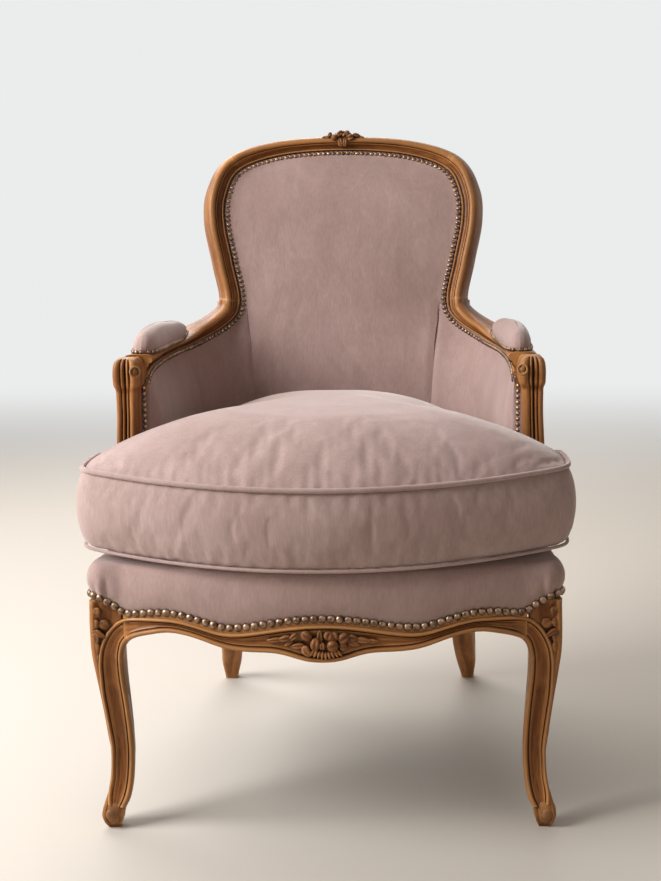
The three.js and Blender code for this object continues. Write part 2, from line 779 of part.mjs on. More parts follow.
function sideRailTurns(z) {
  const front = shares(FLARE_STEPS).map((s) => mix(frontTurn(), armStartTurn(), s));
  return [...front.slice(0, -1), ...armColumns(z, SHOULDER_GAP)];
}

// A point of the side rail; its front end is cut square, a clearance behind the leg
function railPoint(turn, z, depth, clearance = null) {
  const place = wall(turn, z, depth + flare(turn));
  return clearance === null ? place : place.setY(legBack() + clearance);
}

function sideRail() {
  const bottom = RAIL_TOP - SIDE_RAIL_HEIGHT;
  const low = sideRailTurns(bottom);
  const high = sideRailTurns(RAIL_TOP);
  return skin(
    low.map((_, i) => {
      const end = i === 0 ? GAP : null;
      return [
        railPoint(low[i], bottom, POST_INNER, end),
        railPoint(low[i], bottom, RAIL_BACK, end),
        railPoint(high[i], RAIL_TOP, RAIL_BACK, end),
        railPoint(high[i], RAIL_TOP, POST_INNER, end),
      ];
    }),
  );
}

// A point between the two posts, at a share of the way across
function rearPoint(share, z, depth) {
  const edge = postEdge(z, 1, SHOULDER_GAP);
  return wall(mix(edge, 2 - edge, share), z, depth);
}

// A bar across the back between the two posts, from one height to another
function backBar(bottom, top) {
  return skin(
    shares(REAR_RAIL_STEPS).map((s) => [
      rearPoint(s, bottom, POST_INNER),
      rearPoint(s, bottom, BAR_BACK),
      rearPoint(s, top, BAR_BACK),
      rearPoint(s, top, POST_INNER),
    ]),
  );
}

// The rail low in the arm that the arm's cloths are tacked to
function armTackingRail() {
  const bottom = lowerRailBottom;
  const top = bottom + LOWER_BACK_RAIL_HEIGHT;
  const start = armStartTurn() + turnSpan(GAP);
  return skin(
    shares(ARM_STEPS).map((s) => {
      const corner = (z, depth) => wall(mix(start, postEdge(z, -1, SHOULDER_GAP), s), z, depth);
      const near = POST_INNER + WEB;
      const far = RAIL_BACK - WEB;
      return [corner(bottom, near), corner(bottom, far), corner(top, far), corner(top, near)];
    }),
  );
}

// Front legs

function frontLeg() {
  const ring = (height, sweep, knee, size) => {
    const x = FRONT_FOOT_HALF_SPAN - KNEE_INSET_X * knee - ANKLE_SWEEP * sweep;
    const y = FRONT_FOOT_Y + KNEE_INSET_Y * knee + ANKLE_SWEEP * sweep;
    return LEG_SECTION_SHARES.map(([u, v]) => vector(x + u * size, y + v * size, height));
  };
  const rings = FRONT_LEG_SHARES.map(([height, sweep, knee, size]) => {
    return ring(height * RAIL_TOP, sweep, knee, size * KNEE_HALF);
  });
  rings.push(ring(NAILED_KNEE_HEIGHT, 0, 1, KNEE_HALF));
  rings.push(ring(NAILED_KNEE_HEIGHT + GAP, 0, 1, LEG_TOP_HALF));
  rings.push(ring(RAIL_TOP, 0, 1, LEG_TOP_HALF));
  return skin(rings);
}

// Glue blocks in the corners of the seat frame

// A block from its outline, which is a function of the height
function cornerBlock(outline) {
  return skin([outline(RAIL_TOP - BLOCK_HEIGHT), outline(RAIL_TOP)]);
}

function frontCornerBlock() {
  const inner = kneeInner() - 2 * GAP;
  const railBack = (x, z) => vector(x, frontFace(x) + FRONT_RAIL_THICKNESS + GAP, z);
  const first = FRONT_RAIL_STEPS / 2 - FRONT_BLOCK_STEPS;
  const xs = shares(FRONT_BLOCK_STEPS).map((_, i) => (first + i) / (FRONT_RAIL_STEPS / 2) * inner);
  return cornerBlock((z) => {
    const depth = POST_INNER - OPENING_CLEARANCE;
    const turns = sideRailTurns(z).slice(0, 2);
    const sides = turns.map((turn, i) => railPoint(turn, z, depth, i === 0 ? GAP : null));
    return [...xs.map((x) => railBack(x, z)), vector(inner, legBack() + GAP, z), ...sides];
  });
}

function rearCornerBlock() {
  const near = POST_INNER - BLOCK_CLEARANCE;
  return cornerBlock((z) => [
    ...armColumns(z, SHOULDER_GAP).slice(-2).map((turn) => wall(turn, z, near)),
    wall(postEdge(z, -1), z, near),
    wall(postEdge(z, 1), z, near),
    rearPoint(0, z, near),
    rearPoint(1 / REAR_RAIL_STEPS, z, near),
  ]);
}

// Cloth on the wall. A node of a sheet knows its turn and height, and gives its point at any depth.

function wallNode(turn, z) {
  return { turn, z, at: (depth) => wall(turn, z, depth) };
}

function frameNode(place, out) {
  const frame = lineFrame(place);
  const point = onFrame(frame, out, 0);
  return { turn: turnOf(point), z: point.z, at: (depth) => onFrame(frame, out, depth) };
}

// Nodes filled in between four edges; the rows run from bottom to top
function fillNodes(bottom, right, top, left) {
  const columns = bottom.length - 1;
  const rows = left.length - 1;
  return shares(rows).map((v, r) =>
    shares(columns).map((u, c) => {
      if (c === 0) return left[r];
      if (c === columns) return right[r];
      if (r === 0) return bottom[c];
      if (r === rows) return top[c];
      const blend = (key) =>
        mix(bottom[c][key], top[c][key], v) +
        mix(left[r][key], right[r][key], u) -
        mix(mix(bottom[0][key], bottom[columns][key], u), mix(top[0][key], top[columns][key], u), v);
      return wallNode(blend("turn"), blend("z"));
    }),
  );
}

// The chair's middle line is at one quarter turn
function mirrorNode(node) {
  const flip = (p) => vector(-p.x, p.y, p.z);
  return { turn: 2 - node.turn, z: node.z, at: (depth) => flip(node.at(depth)) };
}

const padBottom = DECK_HEIGHT + PAD_LIFT;
const clothStart = CLOTH_START_SHARE * NECK_INDEX;
const clothEnd = CLOTH_END_SHARE * NECK_INDEX;
const neckHeight = linePoint(NECK_INDEX).z;
const padEdge = -REBATE_WIDTH - GAP;

// Edges of the inside back: on the wood's inner edge above the neck, at the seam below it
function backEdgeNodes(out) {
  const neckTurn = frameNode(NECK_INDEX, padEdge).turn;
  const seam = shares(LOWER_ROWS).map((s) => {
    return wallNode(mix(SEAM_SHARE, neckTurn, s), mix(padBottom, neckHeight, s));
  });
  return [...seam.slice(0, -1), ...stilePlaces.map((place) => frameNode(place, out))];
}

function insideBackNodes(out) {
  const right = backEdgeNodes(out);
  const left = right.map(mirrorNode);
  const top = crestPlaces.map((place) => frameNode(place, out));
  const bottom = shares(2 * CREST_STEPS).map((u) => wallNode(mix(right[0].turn, left[0].turn, u), padBottom));
  return fillNodes(bottom, left, top, right);
}

// Nodes that rise from a turn and a height to a last node
function risingNodes(rows, turn, low, last) {
  return rows.map((s) => (s === 1 ? last : wallNode(mix(turn, last.turn, s), mix(low, last.z, s))));
}

function insideArmNodes(out) {
  const start = armStartTurn() + turnSpan(GAP);
  const top = armPlaces.map((place) => frameNode(clamp(place, clothStart, clothEnd), out));
  const seam = SEAM_SHARE - turnSpan(SEW_GAP);
  const neck = top[ARM_STEPS];
  const rows = shares(ARM_ROWS);
  const right = risingNodes(rows, seam, padBottom, neck);
  const left = risingNodes(rows, start, padBottom, top[0]);
  const bottom = shares(ARM_STEPS).map((u) => wallNode(mix(start, seam, u), padBottom));
  return fillNodes(bottom, right, top, left);
}

// Triangles of a grid of nodes, for the cells that are kept
function gridTriangles(rows, columns, keep) {
  const at = (r, c) => r * columns + c;
  const triangles = [];
  for (let r = 0; r < rows - 1; r += 1) {
    for (let c = 0; c < columns - 1; c += 1) {
      if (keep(r, c)) {
        triangles.push([at(r, c), at(r, c + 1), at(r + 1, c + 1)]);
        triangles.push([at(r, c), at(r + 1, c + 1), at(r + 1, c)]);
      }
    }
  }
  return triangles;
}

// A closed solid between two sheets of points that share their triangles
function thick(triangles, front, back) {
  const n = front.length;
  const open = new Map();
  const meet = (p, q) => {
    const key = p < q ? `${p}_${q}` : `${q}_${p}`;
    if (open.has(key)) open.delete(key);
    else open.set(key, [p, q]);
  };
  for (const [a, b, c] of triangles) {
    meet(a, b);
    meet(b, c);
    meet(c, a);
  }
  const rim = [...open.values()].flatMap(([p, q]) => [
    [q, p, p + n],
    [q, p + n, q + n],
  ]);
  const behind = triangles.map(([a, b, c]) => [a + n, c + n, b + n]);
  return closed([...front, ...back], [...triangles, ...behind, ...rim]);
}

// A layer of cloth over a grid of nodes, between two depths
function layer(nodes, near, far, keep = () => true) {
  const triangles = gridTriangles(nodes.length, nodes[0].length, keep);
  const points = (depth) => nodes.flatMap((row, r) => row.map((node, c) => node.at(depth(r, c, node))));
  return thick(triangles, points(near), points(far));
}

function evenLayer(nodes, near, thickness) {
  return layer(nodes, () => near, () => near + thickness);
}

// Webbing: a lattice of the cells in every third row and column
function lattice(nodes) {
  const taken = (k) => k % WEB_EVERY === WEB_FIRST;
  return layer(nodes, () => WEB_SET, () => WEB_SET + WEB, (r, c) => taken(r) || taken(c));
}

// Cloth between two stacks of loops: open at the first loop, and closed over the last one unless it is a band
function shell(outer, inner, isBand = false) {
  const n = outer[0].length;
  const triangles = [];
  for (let r = 0; r < outer.length - 1; r += 1) {
    for (let i = 0; i < n; i += 1) {
      const j = (i + 1) % n;
      triangles.push([r * n + i, r * n + j, (r + 1) * n + j], [r * n + i, (r + 1) * n + j, (r + 1) * n + i]);
    }
  }
  if (!isBand) triangles.push(...cap(outer[outer.length - 1], (outer.length - 1) * n));
  return thick(triangles, outer.flat(), inner.flat());
}

// Indexes round the edge of a grid
function edgeLoop(rows, columns) {
  const at = (r, c) => r * columns + c;
  const loop = [];
  for (let c = 0; c < columns; c += 1) loop.push(at(0, c));
  for (let r = 1; r < rows; r += 1) loop.push(at(r, columns - 1));
  for (let c = columns - 2; c >= 0; c -= 1) loop.push(at(rows - 1, c));
  for (let r = rows - 2; r > 0; r -= 1) loop.push(at(r, 0));
  return loop;
}

// Cloth over a swelling pad, lapped over the wood from the pad's edge to the outer nodes.
// The lap runs along the top, and down the sides as far as a row.
function cover(inner, outer, lastRow, near, far) {
  const rows = inner.length;
  const columns = inner[0].length;
  const path = edgeLoop(rows, columns).filter((k) => Math.floor(k / columns) >= lastRow);
  const first = rows * columns;
  const lap = path.slice(0, -1).flatMap((a, i) => [
    [path[i + 1], a, first + i],
    [path[i + 1], first + i, first + i + 1],
  ]);
  const edge = outer.flat();
  const nodes = [...inner.flat(), ...path.map((k) => edge[k])];
  const keys = [...shares(first - 1).map((_, k) => k), ...path];
  const points = (depth) => nodes.map((node, i) => {
    const k = keys[i];
    return node.at(depth(Math.floor(k / columns), k % columns, inner.flat()[k]));
  });
  const triangles = [...gridTriangles(rows, columns, () => true), ...lap];
  return thick(triangles, points(near), points(far));
}

function insideCover(inner, outer, lastRow, swell) {
  const depth = (lift) => (r, c, node) => -swell(r, c, node) - lift;
  return cover(inner, outer, lastRow, depth(GAP + VELVET), depth(GAP));
}

function outsideCover(inner, outer, lastRow, set) {
  const depth = (lift) => (r, c) => {
    const u = c / (inner[0].length - 1);
    const v = r / (inner.length - 1);
    const edge = r >= lastRow ? 0 : LOWER_EDGE_SWELL_SHARE;
    return RAIL_BACK + set + lift + OUTSIDE_SWELL * topFade(v) * mix(edge, 1, pillow(u)) * ease(2 * v);
  };
  return cover(inner, outer, lastRow, depth(0), depth(VELVET));
}

// How far the padding swells: nothing on the wood, and as much on both sides of the seam
function pillow(t) {
  return 1 - Math.abs(2 * t - 1) ** PILLOW_POWER;
}

function topFade(v) {
  return 1 - Math.max(0, 2 * v - 1) ** PILLOW_POWER;
}

function seamSwell(z) {
  return SEAM_CROWN_SHARE * ease((neckHeight - z) / SEAM_FADE);
}

function backSwell(nodes) {
  return (r, c, node) => {
    const u = c / (nodes[0].length - 1);
    const v = r / (nodes.length - 1);
    return BACK_CROWN * topFade(v) * mix(seamSwell(node.z), 1, pillow(u));
  };
}

function armSwell(nodes) {
  return (r, c, node) => {
    const u = c / (nodes[0].length - 1);
    const v = r / (nodes.length - 1);
    const side = u > MIDDLE_SHARE ? seamSwell(node.z) : 0;
    return mix(ARM_CROWN, BACK_CROWN, u) * topFade(v) * mix(side, 1, pillow(u));
  };
}

function stuffing(nodes, swell) {
  return layer(nodes, (r, c, node) => -swell(r, c, node), () => PAD_SET);
}

// Cloth outside the arms and back; `lapped` nodes lie on the wood's back, the others at its inner edge

function outerNode(place, lapped) {
  return frameNode(place, lapped ? OUTER_NAIL_SHARE * reachAt(place) : padEdge);
}

function outsideArmNodes(lapped) {
  const start = armStartTurn() + turnSpan(GAP);
  const low = OUTSIDE_ARM_BOTTOM;
  const postLine = (z) => wallNode(postTurn(z) - turnSpan(SEW_GAP), z);
  const places = armPlaces.slice(0, -POST_COLUMNS);
  const top = places.map((place) => outerNode(Math.max(place, 2 * clothStart), lapped));
  top.push(postLine(outerNode(armPlaces[ARM_STEPS - POST_COLUMNS + 1], lapped).z));
  const bottom = armColumns(low, SHOULDER_GAP).map((turn) => wallNode(Math.max(turn, start), low));
  bottom.push(postLine(low));
  const rows = shares(OUTSIDE_ARM_ROWS);
  const right = rows.map((s) => postLine(mix(low, top[top.length - 1].z, s)));
  const left = risingNodes(rows, start, low, top[0]);
  return fillNodes(bottom, right, top, left);
}

function outsideBackNodes(lapped) {
  const low = OUTSIDE_BACK_BOTTOM;
  const postLine = (z) => wallNode(postTurn(z) + turnSpan(SEW_GAP), z);
  const lower = shares(LOWER_ROWS).map((s) => postLine(mix(low, neckHeight, s)));
  const edge = [...lower.slice(0, -1), ...stilePlaces.map((place) => outerNode(place, lapped))];
  const other = edge.map(mirrorNode);
  const bottom = shares(2 * CREST_STEPS).map((u) => wallNode(mix(edge[0].turn, other[0].turn, u), low));
  return fillNodes(bottom, other, crestPlaces.map((place) => outerNode(place, lapped)), edge);
}

// A strip of nails along the frame line
function insideNailStrip() {
  const half = [...armPlaces.map((place) => Math.max(place, clothStart)), ...stilePlaces.slice(1)];
  const places = [...half, ...crestPlaces.slice(1, -1), ...half.map((place) => LINE_SPANS - place).reverse()];
  const near = VELVET + 2 * GAP;
  return skin(
    places.map((place) => {
      const frame = lineFrame(place);
      return [
        onFrame(frame, -NAIL_INSET, -near),
        onFrame(frame, NAIL_WIDTH - NAIL_INSET, -near),
        onFrame(frame, NAIL_WIDTH - NAIL_INSET, -near - NAIL_PROUD),
        onFrame(frame, -NAIL_INSET, -near - NAIL_PROUD),
      ];
    }),
  );
}

// Arm rests

// A loop round the arm rest at a share of its height, as wide as a share of its width
function restLoop(rise, width, inset = 0) {
  const margin = inset / REST_LENGTH;
  const half = REST_HALF_WIDTH - inset;
  const z = ARM_TOP_HEIGHT + REST_SET + rise * (REST_HEIGHT - inset);
  const lift = (turn) => REST_LIFT * ease((turn - REST_LIFT_START_SHARE) / REST_LIFT_SPAN_SHARE);
  const side = (sign) =>
    REST_PLAN_SHARES.map(([s, w]) => {
      const turn = mix(REST_START_SHARE, REST_END_SHARE, mix(margin, 1 - margin, s));
      return wall(turn, ARM_LINE_HEIGHT, REST_OFFSET + sign * w * width * half).setZ(z + lift(turn));
    });
  return [...side(1), ...side(-1).reverse()];
}

function restRings(inset) {
  return REST_SECTION_SHARES.map(([rise, width]) => restLoop(rise, width, inset));
}

function restCover() {
  return shell(restRings(0), restRings(VELVET));
}

function restNailStrip() {
  const rise = NAIL_WIDTH / REST_HEIGHT;
  const [, base] = REST_SECTION_SHARES[0];
  const low = restLoop(0, base, -GAP);
  const lowOut = restLoop(0, base, -GAP - NAIL_PROUD);
  const lean = (REST_SECTION_SHARES[1][1] - base) * REST_HALF_WIDTH;
  const high = restLoop(rise, base, -GAP - lean);
  const highOut = restLoop(rise, base, -GAP - lean - NAIL_PROUD);
  return skin(low.map((p, i) => [p, lowOut[i], highOut[i], high[i]]), true);
}

// Outlines in plan

// A loop from its right half, which starts and ends on the middle line
function bothSides(half, flip) {
  return [...half, ...half.slice(1, -1).map(flip).reverse()];
}

function flipPoint(p) {
  return vector(-p.x, p.y, p.z);
}

// A loop drawn in by a distance, or let out by a negative one
function insetLoop(loop, distance) {
  const n = loop.length;
  const outward = (a, b) => vector(b.y - a.y, a.x - b.x, 0).normalize();
  return loop.map((p, i) => {
    const before = outward(loop[(i + n - 1) % n], p);
    const after = outward(p, loop[(i + 1) % n]);
    const corner = before.clone().add(after).divideScalar(1 + before.dot(after));
    return p.clone().addScaledVector(corner, -distance);
  });
}

// A loop shrunk towards the middle of the seat
function shrunk(loop, share, shift = 0) {
  return loop.map((p) => vector(p.x * share, mix(SEAT_MIDDLE_Y, p.y, share) + shift * (1 - share) ** 2, p.z));
}

// Inner edge of the seat frame at a height
function openingHalf(z) {
  const inner = kneeInner() - 2 * GAP;
  const near = POST_INNER - OPENING_CLEARANCE;
  const set = FRONT_RAIL_THICKNESS + GAP;
  const front = shares(FRONT_RAIL_STEPS / 2).map((s) => vector(inner * s, frontFace(inner * s) + set, z));
  const corner = vector(inner, legBack() + GAP, z);
  const sides = sideRailTurns(z).map((turn, i) => railPoint(turn, z, near, i === 0 ? GAP : null));
  const posts = [wall(postEdge(z, -1), z, near), wall(postEdge(z, 1), z, near)];
  const rear = shares(REAR_RAIL_STEPS).slice(0, REAR_RAIL_STEPS / 2 + 1).map((s) => rearPoint(s, z, near));
  return [...front, corner, ...sides, ...posts, ...rear];
}

function opening(bottom, top) {
  return skin([bottom, top].map((z) => bothSides(openingHalf(z), flipPoint)));
}

// Springing of the seat

const springRows = [-1, 1].map((y) => SPRING_ROW_Y + y * SPRING_SPACING_Y);
const springPlaces = [-1, 0, 1].flatMap((x) => springRows.map((y) => [x * SPRING_SPACING_X, y]));

function seatWebbing() {
  const strip = (x, y, width, depth) => {
    const box = new THREE.BoxGeometry(width, depth, WEB);
    box.translate(x, y, SEAT_WEB_HEIGHT + WEB / 2);
    return box;
  };
  const span = 2 * BACK_CURVE_HALF_WIDTH;
  const strips = [-1, 0, 1].flatMap((k) => [
    strip(k * SPRING_SPACING_X, 0, WEB_WIDTH, 2 * span),
    strip(0, SPRING_ROW_Y + k * SPRING_SPACING_Y, span, WEB_WIDTH),
  ]);
  return clipped(joined(...strips), opening(SEAT_WEB_HEIGHT - WEB, SEAT_WEB_HEIGHT + 2 * WEB));
}

const plateauHeight = RAIL_TOP + GAP + HESSIAN_RISE;
const twineHeight = plateauHeight - GAP - TWINE / 2;

// One spring: a coil with a waist and flat end turns
class Coil extends THREE.Curve {
  getPoint(t) {
    const low = SEAT_WEB_HEIGHT + WEB + GAP + SPRING_WIRE / 2;
    const high = twineHeight - TWINE / 2 - GAP - SPRING_WIRE / 2;
    const rise = clamp((t - SPRING_END_SHARE) / (1 - 2 * SPRING_END_SHARE), 0, 1);
    const radius = SPRING_RADIUS * mix(SPRING_WAIST_SHARE, 1, (2 * rise - 1) ** 2);
    const angle = t * SPRING_TURNS * 2 * Math.PI;
    return vector(radius * Math.cos(angle), radius * Math.sin(angle), mix(low, high, rise));
  }
}

function polygon(radius, sides) {
  const shape = new THREE.Shape();
  shape.setFromPoints(
    shares(sides).slice(0, -1).map((s) => {
      const angle = s * 2 * Math.PI;
      return new THREE.Vector2(Math.cos(angle), Math.sin(angle)).multiplyScalar(radius);
    }),
  );
  return shape;
}

function spring(x, y) {
  const geometry = new THREE.ExtrudeGeometry(polygon(SPRING_WIRE / 2, WIRE_SIDES), {
    steps: SPRING_TURNS * SPRING_STEPS,
    extrudePath: new Coil(),
  });
  return geometry.translate(x, y, 0);
}

// Lashing twine from rail to rail over the springs
function lashing() {
  const half = TWINE / 2;
  const low = RAIL_TOP - LASHING_DROP;
  const thread = (points, side) =>
    skin(
      points.map((p) => [
        p.clone().addScaledVector(side, -half).setZ(p.z - half),
        p.clone().addScaledVector(side, half).setZ(p.z - half),
        p.clone().addScaledVector(side, half).setZ(p.z + half),
        p.clone().addScaledVector(side, -half).setZ(p.z + half),
      ]),
    );
  const railInner = (y) => wall(turnOf(vector(ARM_HALF_WIDTH, y, 0)), low, POST_INNER - TWINE).x;
  const rearInner = (x) => {
    const depthShare = (1 - (x / ARM_HALF_WIDTH) ** PLAN_POWER) ** (1 / PLAN_POWER);
    return WALL_CENTRE_Y + wallDepth(low) * depthShare + POST_INNER - TWINE;
  };
  const threads = [-1, 1].map((k) => {
    const y = SPRING_ROW_Y + k * SPRING_SPACING_Y;
    const x = railInner(y);
    const bendX = LASHING_BEND_X_SHARE;
    const bends = [vector(-x * bendX, y, twineHeight), vector(x * bendX, y, twineHeight)];
    const run = [vector(-x, y, low), ...bends, vector(x, y, low)];
    return thread(run, vector(0, 1, 0));
  });
  for (const k of [-1, 0, 1]) {
    const x = k * SPRING_SPACING_X;
    const front = frontFace(x) + FRONT_RAIL_THICKNESS + 2 * GAP;
    const rear = rearInner(x);
    const run = [
      vector(x, front, low),
      vector(x, mix(SEAT_MIDDLE_Y, front, LASHING_BEND_Y_SHARE), twineHeight),
      vector(x, mix(SEAT_MIDDLE_Y, rear, LASHING_BEND_Y_SHARE), twineHeight),
      vector(x, rear, low),
    ];
    threads.push(thread(run, vector(1, 0, 0)));
  }
  return joined(...threads);
}

// Deck of the seat, with the border that is nailed to the front rail

// A station of the border: its place, the cloth's lower edge, and whether it bulges and is nailed
function station(x, y, bottom, free) {
  return { x, y, bottom, free };
}

function deckHalf() {
  const half = kneeInner() - GAP;
  const set = FRONT_REBATE - GAP - VELVET;
  const front = shares(FRONT_RAIL_STEPS / 2).map((share) => {
    const nailed = fromTable(FRONT_RAIL_SHARES, share, 2) * RAIL_TOP;
    return station(half * share, frontFace(half * share) + set, nailed + GAP, 1);
  });
  const kneeX = FRONT_FOOT_HALF_SPAN - KNEE_INSET_X;
  const kneeY = FRONT_FOOT_Y + KNEE_INSET_Y;
  const knee = KNEE_CLOTH_SHARES.map(([x, y, height]) =>
    station(kneeX + x * KNEE_HALF, kneeY + y * KNEE_HALF, height * RAIL_TOP, 1),
  );
  const outer = sideRailTurns(RAIL_TOP)
    .slice(0, FLARE_STEPS)
    .map((turn, i) => railPoint(turn, RAIL_TOP, RAIL_BACK + SIDE_SET + VELVET, i === 0 ? GAP : null));
  const bottom = RAIL_TOP - DECK_NAIL_DROP;
  const top = RAIL_TOP + GAP;
  const [a, b] = outer.slice(-2);
  const earX = (y) => mix(a.x, b.x, (y - a.y) / (b.y - a.y));
  const earFront = DECK_EAR_BACK_Y - 2 * DECK_ROLL;
  const inner = ARM_HALF_WIDTH + DECK_SET;
  const start = turnOf(vector(ARM_HALF_WIDTH, DECK_EAR_BACK_Y + EAR_RADIUS, 0));
  const body = shares(BODY_STEPS).map((s) => {
    const p = wall(mix(start, 1, s), RAIL_TOP, DECK_SET);
    return station(p.x, p.y, top, 0);
  });
  return [
    ...front,
    ...knee,
    ...outer.slice(0, -1).map((p) => station(p.x, p.y, bottom, 1)),
    station(earX(earFront), earFront, bottom, 1),
    station(earX(DECK_EAR_BACK_Y), DECK_EAR_BACK_Y, top, 0),
    station(inner, DECK_EAR_BACK_Y, top, 0),
    ...body,
  ];
}

const deckStations = bothSides(deckHalf(), (s) => ({ ...s, x: -s.x }));
const deckLoop = deckStations.map((s) => vector(s.x, s.y, 0));

// The border's outline at a share of the way up from the nails to its top edge
function borderLoop(share, inset) {
  const loop = insetLoop(deckLoop, inset);
  const letOut = insetLoop(deckLoop, inset - DECK_BULGE);
  return loop.map((p, i) => {
    const s = deckStations[i];
    const bulge = s.free * (1 - (2 * share - 1) ** 2);
    return p.clone().lerp(letOut[i], bulge).setZ(mix(s.bottom, BORDER_EDGE_HEIGHT, share));
  });
}

function deckTop(inset, drop) {
  return insetLoop(deckLoop, DECK_ROLL + inset).map((p) => p.setZ(DECK_HEIGHT - drop));
}

function deckCover() {
  const steps = [0, MIDDLE_SHARE, 1];
  const rings = (inset) => [...steps.map((share) => borderLoop(share, inset)), deckTop(inset, inset)];
  return shell(rings(0), rings(VELVET));
}

// The flat middle of the hessian, raised over the springs
function plateau(z) {
  return shrunk(insetLoop(deckLoop, VELVET + GAP), PLATEAU_SHARE).map((p) => p.setZ(z));
}

function hessianEdge(z) {
  return insetLoop(deckLoop, VELVET + GAP).map((p) => p.setZ(z));
}

function seatHessian() {
  const low = RAIL_TOP + GAP;
  const upper = [hessianEdge(low + HESSIAN), plateau(plateauHeight + HESSIAN)];
  return skin([plateau(plateauHeight), hessianEdge(low), ...upper]);
}

function seatStuffing() {
  const inset = VELVET + STUFFING_SET;
  const low = RAIL_TOP + HESSIAN + 2 * GAP;
  const middle = borderLoop(MIDDLE_SHARE, inset);
  const upper = borderLoop(1, inset);
  const held = middle.map((p) => p.setZ(Math.max(p.z, low + HESSIAN)));
  return skin([plateau(plateauHeight + HESSIAN + GAP), hessianEdge(low), held, upper, deckTop(inset, inset)]);
}

function seatNailStrip() {
  const right = deckHalf().filter((s) => s.free);
  const n = right.length;
  const total = deckStations.length;
  const left = shares(n - 1).map((_, i) => (total - (n - 1 - i)) % total);
  const indexes = [...left, ...shares(n - 2).map((_, i) => i + 1)];
  const away = (out, high) => {
    const loop = insetLoop(deckLoop, -out - (high ? DECK_BULGE * NAIL_LEAN_SHARE : 0));
    return indexes.map((k) => loop[k].clone().setZ(deckStations[k].bottom + (high ? NAIL_WIDTH : GAP)));
  };
  const near = GAP;
  const far = GAP + NAIL_PROUD;
  const sides = [away(near, false), away(far, false), away(far, true), away(near, true)];
  return skin(indexes.map((_, i) => sides.map((side) => side[i])));
}

// Loose cushion

function cushionHalf() {
  const corner = CUSHION_HALF_WIDTH - FRONT_RADIUS;
  const frontAt = (x) => CUSHION_FRONT_Y + CUSHION_BOW * (x / CUSHION_HALF_WIDTH) ** 2;
  const front = shares(CUSHION_FRONT_STEPS).map((s) => vector(corner * s, frontAt(corner * s), 0));
  const low = frontAt(corner);
  const turn = CUSHION_CORNER_SHARES.map(([x, y]) => {
    return vector(corner + x * FRONT_RADIUS, low + y * FRONT_RADIUS, 0);
  });
  const start = turnOf(vector(ARM_HALF_WIDTH, EAR_BACK_Y + 2 * EAR_RADIUS, 0));
  const body = shares(BODY_STEPS).map((s) => wall(mix(start, 1, s), DECK_HEIGHT, -CUSHION_INSET).setZ(0));
  return [
    ...front,
    ...turn,
    vector(CUSHION_HALF_WIDTH, EAR_BACK_Y - EAR_RADIUS, 0),
    vector(CUSHION_HALF_WIDTH - EAR_RADIUS / 2, EAR_BACK_Y, 0),
    vector(ARM_HALF_WIDTH, EAR_BACK_Y, 0),
    vector(body[0].x + GAP, EAR_BACK_Y + EAR_RADIUS / 2, 0),
    ...body,
  ];
}

const cushionLoop = bothSides(cushionHalf(), flipPoint);
const panelLoop = insetLoop(cushionLoop, PIPING_RADIUS + GAP);

// How far towards the ears a point is
function earShare(p) {
  const across = (Math.abs(p.x) / CUSHION_HALF_WIDTH) ** 2;
  const forward = ease((EAR_BACK_Y - p.y) / EAR_RISE_SPAN + 1);
  return across * forward;
}

function pipingHeight(p, top) {
  const base = CUSHION_BOTTOM + (top ? BORDER_HEIGHT : 0);
  return base + EAR_RISE * earShare(p);
}

// A ring of the cushion's top or bottom panel, drawn in to a share, sunk by the cloth's thickness
function panelRing(share, top, sunk = 0) {
  const ring = shrunk(panelLoop, share, CROWN_SHIFT);
  const crown = top ? CUSHION_CROWN : -CUSHION_SAG;
  const swell = crown * (1 - share ** CROWN_POWER);
  const way = top ? -sunk : sunk;
  const middle = pipingHeight(vector(0, 0, 0), top);
  return ring.map((p, i) => p.setZ(mix(middle, pipingHeight(cushionLoop[i], top), share ** 2) + swell + way));
}

function panel(top) {
  const steps = top ? CROWN_SHARES : SAG_SHARES;
  const outer = steps.map((share) => panelRing(share, top));
  const inner = steps.map((share) => panelRing(share, top, VELVET));
  return shell(outer, inner);
}

function piping(top) {
  const reach = shares(PIPING_SIDES).slice(0, -1).map((s) => [
    PIPING_RADIUS * Math.cos(s * 2 * Math.PI),
    PIPING_RADIUS * Math.sin(s * 2 * Math.PI),
  ]);
  const loops = reach.map(([out]) => insetLoop(cushionLoop, -out));
  return skin(
    cushionLoop.map((p, i) => reach.map(([, up], k) => loops[k][i].clone().setZ(pipingHeight(p, top) + up))),
    true,
  );
}

// The border's outline at a share of its height
function bandLoop(share, inset) {
  const loop = insetLoop(cushionLoop, inset);
  const letOut = insetLoop(cushionLoop, inset - BORDER_BULGE);
  const edge = PIPING_RADIUS + GAP;
  return loop.map((p, i) => {
    const corner = cushionLoop[i];
    const shows = ease((BORDER_SHOWS_Y - corner.y) / EAR_RADIUS);
    const bulge = shows * (1 - (2 * share - 1) ** 2);
    const low = pipingHeight(corner, false) + edge;
    const high = pipingHeight(corner, true) - edge;
    return p.clone().lerp(letOut[i], bulge).setZ(mix(low, high, share));
  });
}

function cushionBorder() {
  const steps = BORDER_SHARES;
  return shell(steps.map((share) => bandLoop(share, 0)), steps.map((share) => bandLoop(share, VELVET)), true);
}

function cushionFilling() {
  const sunk = VELVET + FILLING_SET;
  const low = [...SAG_SHARES].reverse().map((share) => panelRing(share, false, sunk));
  const high = CROWN_SHARES.map((share) => panelRing(share, true, sunk));
  const sides = BORDER_SHARES.map((share) => bandLoop(share, sunk));
  return skin([...low, ...sides, ...high]);
}

